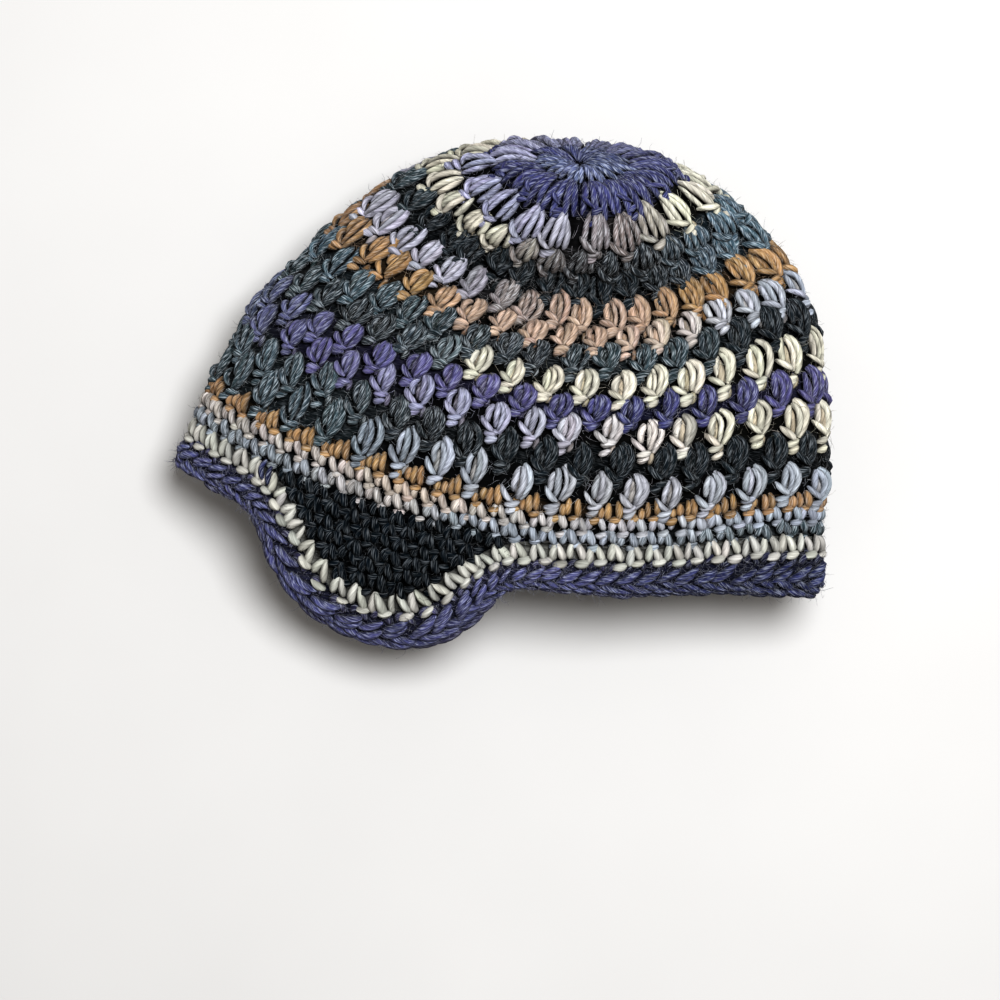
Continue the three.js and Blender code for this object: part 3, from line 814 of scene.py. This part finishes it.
def add_star_round(yarn, index):
    """Long strands that spread out from the crown's centre, in fans of four."""
    (start, end), (narrow, wide), (thin, thick) = STAR_SHAPES[index]
    places = round_places(index)
    puffs = len(places)
    fans = STAR_FANS[:, None]
    shape = (puffs, len(fans), 1)
    random = yarn.random
    t = np.linspace(0, 1, STRAND_POINTS)
    share = fans * (narrow + (wide - narrow) * t ** STAR_BEND)
    places = places + random.normal(0, STAR_WANDER, puffs) / puffs
    spot_place = places[:, None, None] + share / puffs + random.normal(0, STAR_SCATTER, shape) / puffs
    reach = random.normal(0, STAR_UNEVEN, shape)
    spot_along = start + 0.5 * np.abs(reach) + (end - start) * t
    spot_along = spot_along + (reach - STAR_SHORTER * np.abs(fans)) * t
    base, normal = on_cloth(spot_place, spot_along)
    arc = np.sin(math.pi * (STAR_ARC[0] + STAR_ARC[1] * t))
    lift = STAR_LIFT * arc - STAR_SINK * (1 + fans ** 2) + random.normal(0, STAR_LIFT_JITTER, shape)
    width = thin + (thick - thin) * np.minimum(1, t * STAR_WIDENING)
    radii = np.broadcast_to(width * round_ends(STRAND_POINTS, STAR_THIN), lift.shape)
    colours = np.repeat(round_colours(index, places)[:, None, :], len(fans), axis=1)
    add_strands(yarn, base + normal * lift[..., None], normal, radii, colours)


def make_star(wool):
    yarn = Yarn(SEED)
    last = STAR_ROUNDS[-1]
    add_round_core(yarn, STAR_CORE_START, ROUNDS[last][1] - 2 * CORE_GAP)
    for index in STAR_ROUNDS:
        add_star_round(yarn, index)
    places = round_places(last)
    spots = spots_at(places, round_centre(last) - STAR_FOOT_RAISE)
    lay_strands(yarn, PUFF_FOOT, spots, round_colours(last, places), size=STAR_FOOT_SIZE)
    yarn.make("crown_star_yarn", wool, "star_wool", "crown_star")


def make_puff_zone(name, rounds, wool, slot, node):
    """Rounds of puffs as one mesh."""
    yarn = Yarn(SEED + rounds[0])
    add_round_core(yarn, ROUNDS[rounds[0] - 1][1] + CORE_GAP, ROUNDS[rounds[-1]][1] - CORE_GAP)
    for index in rounds:
        add_puff_round(yarn, index)
    yarn.make(name, wool, slot, node)


ROW_START = 0.58
ROW_SHIFT = 0.36
LAST_ROW_LIFT = -0.6


def make_band(wool):
    """Three rounds of single crochet under the puffs."""
    yarn = Yarn(SEED + 20)
    add_round_core(yarn, BAND_START + 2 * CORE_GAP, BAND_END - CORE_GAP, PLAIN_CORE_OUT, PLAIN_CORE_IN)
    gaps = np.arange(BODY_PUFFS) / BODY_PUFFS
    for order in range(PLAIN_ROUNDS):
        index = len(ROUNDS) + order
        centre = BAND_START + PLAIN_HEIGHT * (order + 0.5)
        spots = spots_at(STITCH_PLACES + (ROW_START + ROW_SHIFT * order) / STITCHES, centre)
        colours = round_colours(index, STITCH_PLACES)
        if order == 0:
            lay_strands(yarn, CLUSTER, spots_at(gaps, centre), round_colours(index, gaps))
        else:
            lay_strands(yarn, PLAIN_LEGS, spots, colours)
        top_lift = LAST_ROW_LIFT if order == PLAIN_ROUNDS - 1 else 0.0
        lay_strands(yarn, PLAIN_TOP, spots, colours, top_lift)
        # Painted shade of the hat's inside on the inner strands.
        lay_strands(yarn, INNER_PLAIN, spots, colours * INNER_STRAND_PAINTED_SHADE, PLAIN_INNER_LIFT,
                    sides=INNER_SIDES)
    yarn.make("brim_band_yarn", wool, "band_wool", "brim_band")


FLAP_WALL_ROWS = 16
FLAP_WALL_COLUMNS = 60
FLAP_LEAST_DEPTH = 0.3
# How dark the flap's core is painted, as shade between the stitches.
FLAP_CORE_PAINTED_SHADE = 0.2
FLAP_ROW_SHIFT = 0.25
FLAP_ROW_CLEAR = 0.2


def flap_grid(lower_side):
    """Places and alongs of one ear flap, between the band's end and the outline."""
    turns = np.linspace(-FLAP_HALF_TURN, FLAP_HALF_TURN, FLAP_WALL_COLUMNS)
    places = FLAP_CENTRE + turns
    parts = np.linspace(0, 1, FLAP_WALL_ROWS)[:, None]
    alongs = BAND_END + parts * (np.maximum(flap_depth(places), FLAP_LEAST_DEPTH) + TRIM_START)
    if lower_side:
        places = 1 - places
    return np.broadcast_to(places, alongs.shape), alongs


def make_flap(name, wool, node, lower_side, seed):
    """An ear flap in rows of single crochet, on the upper side or mirrored on the lower one."""
    yarn = Yarn(seed)
    place, along = flap_grid(lower_side)
    outer = wall_points(place, along, PLAIN_CORE_OUT)
    inner = wall_points(place, along, PLAIN_CORE_IN)
    if lower_side:
        outer, inner = outer[:, ::-1], inner[:, ::-1]
    colours = colours_along(FLAP_COLOURS, place)
    # The core is painted dark outside as shade between the stitches, and inside as the shade inside
    # the hat.
    yarn.add_wall(outer, inner, colours * FLAP_CORE_PAINTED_SHADE, colours * INSIDE_PAINTED_SHADE, open_ends=True)
    for row in range(math.ceil(FLAP_DEPTH / FLAP_ROW_HEIGHT - 0.5)):
        down = (row + 0.5) * FLAP_ROW_HEIGHT
        places = STITCH_PLACES + (FLAP_ROW_SHIFT * row % 1.0) / STITCHES
        kept = places[(places < 0.5) & (flap_depth(places) > down + FLAP_ROW_CLEAR * FLAP_ROW_HEIGHT)]
        if lower_side:
            kept = 1 - kept
        spots = spots_at(kept, BAND_END + down)
        colours = colours_along(FLAP_COLOURS, kept)
        lay_strands(yarn, PLAIN_STITCH, spots, colours)
        # Painted shade of the hat's inside on the inner strands.
        lay_strands(yarn, INNER_PLAIN, spots, colours * RIM_INNER_STRAND_PAINTED_SHADE, PLAIN_INNER_LIFT,
                    sides=INNER_SIDES)
    yarn.make(name, wool, "flap_wool", node)


# The trim and the edging, which follow the outline.
LEAST_STRETCH = 0.8
MOST_STRETCH = 1.45
TRIM_STITCH = 1.13
TRIM_RAISE = 0.3
TRIM_LEG_LIFT = 0.3
TRIM_OVAL_LIFT = 0.9
# How dark the trim's core is painted, as shade between the stitches.
TRIM_CORE_PAINTED_SHADE = 0.35
TRIM_CORE = [(TRIM_START, PLAIN_CORE_OUT, PLAIN_CORE_IN), (TRIM_END, PLAIN_CORE_OUT, PLAIN_CORE_IN)]
# How dark the edging's core is painted, as shade between the stitches.
EDGING_CORE_PAINTED_SHADE = 0.2
EDGING_CORE = [(6.0, -0.9, -2.6), (8.5, 0.3, -3.2), (13.0, 0.5, -3.4), (16.4, -0.4, -3.0)]

# The two legs of a trim stitch, pointed at the top and full at the foot.
LEG_LINES, LEG_RADII = strands_of([
    ((2.0, -2.9, -0.4), (2.5, -0.6, 0.9), (2.2, 2.2, 0.1), 1.42, 0.62),
    ((1.1, -2.7, -0.3), (-0.4, -0.6, 1.0), (-1.7, 2.2, 0.2), 1.46, 0.62),
])
TRIM_LEGS = (LEG_LINES, LEG_RADII * np.linspace(0.74, 1.18, SHORT_POINTS))
# The top of a trim stitch, which lies over the start of the edging.
TRIM_OVAL = strands_of([((0.6, 3.5, -0.3), (-1.1, 2.9, 0.9), (-2.9, 2.6, -0.1), 1.42, 0.7)])
# Where the edging's round is joined, its yarn passes over the trim.
JOINING = strands_of([
    ((1.0, -3.4, 0.6), (1.6, 0.0, 2.2), (0.2, 3.6, 1.0), 1.2, 0.5),
    ((-0.6, -2.6, 0.4), (-0.6, 0.6, 1.9), (-1.2, 4.2, 0.8), 1.1, 0.5),
])
JOIN_PLACE = 29.6 / STITCHES
JOIN_DOWN = 2.4
JOIN_LIFT = 0.4

EDGING_SEAM = strands_of([
    ((1.9, 1.3, -0.4), (1.2, -0.8, 0.4), (-0.5, -0.9, -0.3), 1.2, 0.65),
    ((-0.4, -1.3, -0.4), (-1.9, -0.6, 0.4), (-2.8, 1.5, -0.3), 1.2, 0.65),
])
EDGING_UPPER = strands_of([
    ((3.4, 1.1, 0.1), (-0.2, -0.9, 1.6), (-3.7, -2.5, 0.4), 1.3, 0.6),
    ((4.2, 2.6, -0.2), (0.4, 0.8, 1.4), (-3.1, -0.9, 0.1), 1.3, 0.6),
])
EDGING_LOWER = strands_of([((3.8, -1.3, -0.2), (0.2, -0.1, 0.7), (-3.4, 1.0, -0.3), 1.2, 0.5)])
EDGING_RIM = strands_of([
    ((4.4, -0.4, 0.0), (0.0, 0.0, 0.8), (-4.2, 0.4, 0.0), 1.25, 0.6),
    ((4.2, 1.1, -1.6), (0.0, 1.4, -0.9), (-4.2, 1.7, -1.7), 1.3, 0.6),
])
EDGING_INSIDE = strands_of([((4.4, -1.2, 0.2), (0.0, 0.0, -0.8), (-4.4, 1.2, 0.2), 1.5, 0.5)])
# Rows of the edging: distance beyond the outline, template, shift in stitches, painted shade (lower
# for rows that lie under or inside others) and lift.
EDGING_ROWS = [
    (7.5, EDGING_SEAM, 0.0, 0.95, 0.3), (11.3, EDGING_UPPER, 0.3, 1.0, 0.7),
    (14.8, EDGING_LOWER, 0.1, 0.9, 0.3), (16.4, EDGING_RIM, 0.5, 0.95, -0.8),
    (15.6, EDGING_INSIDE, 0.2, 0.9, -3.2), (12.2, EDGING_INSIDE, 0.6, 0.9, -3.2),
    (8.8, EDGING_INSIDE, 0.0, 0.9, -2.8),
]


def add_rim_core(yarn, profile, stops, painted_shade_factor):
    """A closed wall that follows the outline, from a profile of distances and lifts. Its outside is
    painted dark as the shade between the stitches, and its inside as the shade inside the hat.
    """
    places = np.arange(CORE_COLUMNS * 2) / (CORE_COLUMNS * 2)
    spots = [beyond_outline(places, distance) for distance, out_lift, in_lift in profile]
    outer = [wall_points(*spot, row[1]) for spot, row in zip(spots, profile)]
    inner = [wall_points(*spot, row[2]) for spot, row in zip(spots, profile)]
    grid = np.broadcast_to(colours_along(stops, places), (len(profile), len(places), 4))
    # Painted shade on both sides of the wall.
    yarn.add_wall(np.stack(outer), np.stack(inner), grid * painted_shade_factor, grid * INSIDE_PAINTED_SHADE,
                  open_ends=False)


def rim_stretch(places, distance):
    """How much wider a stitch is at a distance beyond the outline than on the outline itself."""
    widths = []
    for beyond in (distance, 0.0):
        near, normal = on_cloth(*beyond_outline(places - STEP_TURN, beyond))
        far, normal = on_cloth(*beyond_outline(places + STEP_TURN, beyond))
        widths.append(np.linalg.norm(far - near, axis=1))
    return np.clip(widths[0] / widths[1], LEAST_STRETCH, MOST_STRETCH)


def make_trim(wool):
    yarn = Yarn(SEED + 30)
    add_rim_core(yarn, TRIM_CORE, TRIM_COLOURS, TRIM_CORE_PAINTED_SHADE)
    places = rim_places()
    spots = spots_at(places, 0.5 * (TRIM_START + TRIM_END) - TRIM_RAISE)
    colours = colours_along(TRIM_COLOURS, places)
    lay_strands(yarn, TRIM_LEGS, spots, colours, TRIM_LEG_LIFT, along_rim, TRIM_STITCH)
    lay_strands(yarn, TRIM_OVAL, spots, colours, TRIM_OVAL_LIFT, along_rim, TRIM_STITCH)
    # Painted shade of the hat's inside on the inner strands.
    lay_strands(yarn, INNER_PLAIN, spots, colours * RIM_INNER_STRAND_PAINTED_SHADE, PLAIN_INNER_LIFT, along_rim,
                sides=INNER_SIDES)
    yarn.make("cream_trim_yarn", wool, "trim_wool", "cream_trim")


def make_edging(wool):
    yarn = Yarn(SEED + 40)
    add_rim_core(yarn, EDGING_CORE, EDGING_COLOURS, EDGING_CORE_PAINTED_SHADE)
    places = rim_places()
    colours = colours_along(EDGING_COLOURS, places)
    for distance, template, shift, painted_shade_factor, lift in EDGING_ROWS:
        shifted = places + shift / len(places)
        swell = rim_stretch(shifted, distance) * fold_growth(shifted)
        # Rows that lie under or inside the others get painted shade.
        lay_strands(yarn, template, spots_at(shifted, distance), colours * painted_shade_factor, lift, along_rim,
                    swell=swell)
    join = spots_at(np.array([JOIN_PLACE]), BAND_END + JOIN_DOWN)
    lay_strands(yarn, JOINING, join, colours[:1], JOIN_LIFT)
    yarn.make("purple_edging_yarn", wool, "edging_wool", "purple_edging")


# Loose fibres that stand off the yarn.
FUZZ_COUNTS = {"crown": 3600, "body": 6200, "rim": 4800, "flap": 700}
FUZZ_RADIUS = 0.075
FUZZ_RADII = (0.7, 1.3)
FUZZ_TIP = 0.45
FUZZ_LENGTH = 4.0
FUZZ_LENGTHS = (0.35, 1.5)
FUZZ_RISE = 0.9
FUZZ_RISE_POWER = 1.5
FUZZ_CURL = 0.4
FUZZ_DROOP = 0.12
FUZZ_JITTER = 0.25
FUZZ_DULL = 0.85
FUZZ_LIGHT = 0.28
FUZZ_CENTRE_GAP = 2.0
FUZZ_RIM_GAP = 1.0
NEAR_FLAP_SHARE = 0.75


def add_fuzz(yarn, place, along, colours, lift_low, lift_high):
    """Thin curled fibres that start in the fabric at each place."""
    count = len(place)
    random = yarn.random
    base, normal = on_cloth(place, along)
    base = base + normal * random.uniform(lift_low, lift_high, (count, 1)) * pressed(base[:, 2:])
    sideways = unit(np.cross(normal, random.normal(0, 1, (count, 3))))
    direction = unit(sideways + normal * random.uniform(0.0, FUZZ_RISE, (count, 1)) ** FUZZ_RISE_POWER)
    step = FUZZ_LENGTH * random.uniform(*FUZZ_LENGTHS, (count, 1)) / (FUZZ_POINTS - 1)
    points = [base]
    for i in range(1, FUZZ_POINTS):
        points.append(points[-1] + direction * step)
        curl = random.normal(0, FUZZ_CURL, (count, 3))
        direction = unit(direction + curl - normal * FUZZ_DROOP)
    normals = np.repeat(normal[:, None, :], FUZZ_POINTS, axis=1)
    taper = np.linspace(1, FUZZ_TIP, FUZZ_POINTS)
    radii = FUZZ_RADIUS * random.uniform(*FUZZ_RADII, (count, 1)) * taper
    colours = shade_colours(yarn, colours, FUZZ_JITTER)
    colours[:, :3] = colours[:, :3] * FUZZ_DULL + FUZZ_LIGHT * colours[:, 3:]
    yarn.add_tubes(np.stack(points, axis=1), normals, radii, colours, FUZZ_SIDES)


def round_fuzz(yarn, first, last, count, power):
    """Fibres over rounds, evenly with a power of 1, and denser near the last round below 1."""
    start = ALL_ROUND_ENDS[first - 1] if first else FUZZ_CENTRE_GAP
    along = start + (ALL_ROUND_ENDS[last] - start) * yarn.random.uniform(0, 1, count) ** power
    place = yarn.random.uniform(0, 1, count)
    rounds = round_at(along)
    colours = np.zeros((count, 4))
    for index in np.unique(rounds):
        chosen = rounds == index
        colours[chosen] = round_colours(index, place[chosen])
    add_fuzz(yarn, place, along, colours, 0.2, 2.2)


def make_fuzz(wool):
    yarn = Yarn(SEED + 50)
    round_fuzz(yarn, STAR_ROUNDS[0], CROWN_ROUNDS[-1], FUZZ_COUNTS["crown"], 0.5)
    yarn.make("crown_fuzz", wool, "crown_wool")
    yarn = Yarn(SEED + 51)
    round_fuzz(yarn, BODY_ROUNDS[0], LAST_ROUND, FUZZ_COUNTS["body"], 1)
    yarn.make("body_fuzz", wool, "body_wool")
    yarn = Yarn(SEED + 52)
    random = yarn.random
    count = FUZZ_COUNTS["rim"]
    distance = random.uniform(EDGING_START, EDGING_END - FUZZ_RIM_GAP, count)
    place, along = beyond_outline(random.uniform(0, 1, count), distance)
    add_fuzz(yarn, place, along, colours_along(EDGING_COLOURS, place), -1.5, 2.4)
    count = FUZZ_COUNTS["flap"]
    place = FLAP_CENTRE + random.uniform(-FLAP_HALF_TURN, FLAP_HALF_TURN, count)
    along = BAND_END + random.uniform(0, 1, count) * (flap_depth(place) + TRIM_END)
    place = np.where(random.uniform(0, 1, count) < NEAR_FLAP_SHARE, place, 1 - place)
    add_fuzz(yarn, place, along, colours_along(FLAP_COLOURS, place), 0.2, 1.2)
    yarn.make("edging_fuzz", wool, "edging_wool")


# Materials. The noises are long along the fibre and narrow across it.
STREAK_NOISE = ((0.13, 1.1, 1.0), 2.0, 0.0)
FLECK_NOISE = ((0.34, 2.5, 1.0), 1.5, 40.0)
DARK_NOISE = ((0.24, 1.9, 1.0), 1.5, 90.0)
FIBRE_NOISE = ((0.3, 5.0, 1.0), 2.0, 170.0)
NOISE_ROUGHNESS = 0.6
NOISE_RANGE = (0.3, 0.7)
DARK_RANGE = (0.46, 0.62, 0.0, 0.6)
FLECK_RANGE = (0.49, 0.65, 0.0, 0.85)
FLECK_LIFT = (0.31, 0.33, 0.35)
# Grooves between the plies: their width, their painted shade and the sharpness of their edges.
PLY_WIDTH = 2.1
PLY_GROOVE_PAINTED_SHADE = 0.2
PLY_EDGE = 0.45
RELIEF_DEPTH = 0.0005
FIBRE_RELIEF = 0.8
FLECK_RELIEF = 0.7
WOOL_SPECULAR = 0.08
SHEEN_ROUGHNESS = 0.5
# Each wool's roughness, bump, contrast and sheen.
WOOL_SLOTS = {
    "star_wool": (0.9, 0.7, 0.32, 0.04), "crown_wool": (0.9, 0.7, 0.27, 0.04),
    "body_wool": (0.9, 0.7, 0.27, 0.04), "band_wool": (0.9, 0.65, 0.25, 0.04),
    "flap_wool": (0.95, 0.7, 0.45, 0.0), "trim_wool": (0.85, 0.55, 0.16, 0.04),
    "edging_wool": (0.92, 0.8, 0.35, 0.04),
}
FLOOR_ROUGHNESS = 0.7
FLOOR_NOISE_SCALE = 9.0
FLOOR_NOISE_DETAIL = 3.0
FLOOR_COLOURS = [(0.5, 0.498, 0.493, 1), (0.54, 0.538, 0.533, 1)]
# Sockets of the mix node for colours, which has others of the same names.
MIX_FACTOR = 0
MIX_FIRST = 6
MIX_SECOND = 7
MIX_RESULT = 2


def new_material(name, sockets):
    """A material with its shader's sockets set, its node tree and its shader."""
    material = bpy.data.materials.new(name)
    material.use_nodes = True
    shader = material.node_tree.nodes["Principled BSDF"]
    for socket, value in sockets.items():
        shader.inputs[socket].default_value = value
    return material, material.node_tree, shader


def add_node(tree, kind, output, sockets, **settings):
    """A new node's output. A socket is linked to another node's output or set to a value."""
    node = tree.nodes.new("ShaderNode" + kind)
    for name, value in settings.items():
        setattr(node, name, value)
    for name, value in sockets.items():
        if isinstance(value, bpy.types.NodeSocket):
            tree.links.new(value, node.inputs[name])
        else:
            node.inputs[name].default_value = value
    return node.outputs[output]


def wool_material(name, roughness, bump, contrast, sheen):
    """Heathered wool: fibres run along each strand, some lighter and some darker."""
    material, tree, shader = new_material(name, {
        "Roughness": roughness, "Specular IOR Level": WOOL_SPECULAR,
        "Sheen Weight": sheen, "Sheen Roughness": SHEEN_ROUGHNESS,
    })
    wool = add_node(tree, "Attribute", "Color", {}, attribute_name="wool")
    heather = wool.node.outputs["Alpha"]
    fibre = add_node(tree, "UVMap", "UV", {}, uv_map="fibre")

    def fibre_noise(scale, detail, start):
        place = {"Scale": scale, "Location": (start, start, start), "Vector": fibre}
        mapped = add_node(tree, "Mapping", "Vector", place)
        noise = {"Scale": 1.0, "Detail": detail, "Roughness": NOISE_ROUGHNESS, "Vector": mapped}
        return add_node(tree, "TexNoise", "Fac", noise)

    def map_range(value, low, high, to_low, to_high):
        sockets = {"From Min": low, "From Max": high, "To Min": to_low, "To Max": to_high}
        return add_node(tree, "MapRange", "Result", {"Value": value, **sockets})

    def calculate(operation, first, second):
        return add_node(tree, "Math", "Value", {0: first, 1: second}, operation=operation)

    streak, fleck, deep, fine = [
        fibre_noise(*noise) for noise in (STREAK_NOISE, FLECK_NOISE, DARK_NOISE, FIBRE_NOISE)
    ]
    shade = map_range(streak, *NOISE_RANGE, 1 - contrast, 1 + contrast)
    shadow = calculate("MULTIPLY", map_range(deep, *DARK_RANGE), heather)
    shade = calculate("MULTIPLY", shade, calculate("SUBTRACT", 1.0, shadow))
    shade = calculate("MULTIPLY", shade, map_range(fine, *NOISE_RANGE, 1 - contrast, 1 + contrast))
    across = add_node(tree, "SeparateXYZ", "Y", {"Vector": fibre})
    turned = calculate("MULTIPLY", across, math.pi / PLY_WIDTH)
    ply = calculate("ABSOLUTE", calculate("SINE", turned, 0.0), 0.0)
    # Painted shade in the grooves between the plies.
    shade = calculate("MULTIPLY", shade, map_range(ply, 0.0, PLY_EDGE, 1 - PLY_GROOVE_PAINTED_SHADE, 1.0))
    shaded = add_node(tree, "VectorMath", "Vector", {0: wool, "Scale": shade}, operation="SCALE")
    amount = calculate("MULTIPLY", map_range(fleck, *FLECK_RANGE), heather)
    lighter = add_node(tree, "VectorMath", "Vector", {0: wool, 1: FLECK_LIFT}, operation="ADD")
    mixed = {MIX_FACTOR: amount, MIX_FIRST: shaded, MIX_SECOND: lighter}
    colour = add_node(tree, "Mix", MIX_RESULT, mixed, data_type="RGBA")
    height = calculate("ADD", ply, calculate("MULTIPLY", fine, FIBRE_RELIEF))
    height = calculate("ADD", height, calculate("MULTIPLY", fleck, FLECK_RELIEF))
    relief = {"Strength": bump, "Distance": RELIEF_DEPTH, "Height": height}
    tree.links.new(colour, shader.inputs["Base Color"])
    tree.links.new(add_node(tree, "Bump", "Normal", relief), shader.inputs["Normal"])
    return material


def floor_material():
    material, tree, shader = new_material("pale_floor", {"Roughness": FLOOR_ROUGHNESS})
    position = add_node(tree, "TexCoord", "Object", {})
    noise = {"Scale": FLOOR_NOISE_SCALE, "Detail": FLOOR_NOISE_DETAIL, "Vector": position}
    tone = add_node(tree, "ValToRGB", "Color", {"Fac": add_node(tree, "TexNoise", "Fac", noise)})
    for element, colour in zip(tone.node.color_ramp.elements, FLOOR_COLOURS):
        element.color = colour
    tree.links.new(tone, shader.inputs["Base Color"])
    return material


# Floor, light and camera.
FLOOR_HALF = 2.5
FLOOR_DROP = 0.0003
VIEW_HEIGHT = 1.0
VIEW_TURN = 11.0
VIEW_NEAR = 0.01
VIEW_FAR = 20
FRAME_WIDTH = 0.372
SENSOR = 36.0
LIGHT_REACH = 0.3
LIGHT_HEIGHT = 1.2
LIGHT_SIDE = 45.0
LIGHT_SIZE = 0.5
LIGHT_POWER = 16.2
LIGHT_COLOUR = (0.985, 0.99, 1.0)
SKY = 0.33
SKY_COLOUR = (1.0, 0.955, 0.91, 1)


def make_floor():
    mesh = bpy.data.meshes.new("floor")
    corners = [(-1, -1), (1, -1), (1, 1), (-1, 1)]
    points = [(x * FLOOR_HALF, y * FLOOR_HALF, -FLOOR_DROP) for x, y in corners]
    mesh.from_pydata(points, [], [(0, 1, 2, 3)])
    mesh.materials.append(floor_material())
    add_object("floor", mesh)


def make_light():
    """A soft lamp high up, towards the photograph's upper right, and an even sky."""
    data = bpy.data.lights.new("key", "AREA")
    data.shape = "DISK"
    data.size = LIGHT_SIZE
    data.energy = LIGHT_POWER
    data.color = LIGHT_COLOUR
    light = add_object("key", data)
    turn = math.radians(VIEW_TURN + LIGHT_SIDE)
    light.location = (LIGHT_REACH * math.cos(turn), LIGHT_REACH * math.sin(turn), LIGHT_HEIGHT)
    light.rotation_euler = (0, math.atan2(LIGHT_REACH, LIGHT_HEIGHT), turn)
    world = bpy.data.worlds.new("soft_sky")
    world.use_nodes = True
    background = world.node_tree.nodes["Background"]
    background.inputs["Color"].default_value = SKY_COLOUR
    background.inputs["Strength"].default_value = SKY
    bpy.context.scene.world = world


def make_camera():
    """Straight above the hat, turned as the photograph is."""
    data = bpy.data.cameras.new("camera")
    data.sensor_width = SENSOR
    data.lens = SENSOR * VIEW_HEIGHT / FRAME_WIDTH
    data.clip_start = VIEW_NEAR
    data.clip_end = VIEW_FAR
    camera = add_object("camera", data)
    camera.location = (-ORIGIN_X * MM, -ORIGIN_Y * MM, VIEW_HEIGHT)
    camera.rotation_euler = (0, 0, math.radians(VIEW_TURN))
    bpy.context.scene.camera = camera


make_camera()
make_floor()
make_light()
bpy.context.scene.view_settings.view_transform = "Standard"
bpy.context.scene.view_settings.look = "High Contrast"
wool = {slot: wool_material(slot, *values) for slot, values in WOOL_SLOTS.items()}
make_star(wool)
make_puff_zone("crown_rounds_yarn", CROWN_ROUNDS, wool, "crown_wool", "crown_rounds")
make_puff_zone("body_rounds_yarn_upper", BODY_ROUNDS[:4], wool, "body_wool", "body_rounds")
make_puff_zone("body_rounds_yarn_lower", BODY_ROUNDS[4:], wool, "body_wool", "body_rounds")
make_band(wool)
make_flap("ear_flap_near_yarn", wool, "ear_flap_near", False, SEED + 60)
make_flap("ear_flap_far_yarn", wool, "ear_flap_far", True, SEED + 61)
make_trim(wool)
make_edging(wool)
make_fuzz(wool)
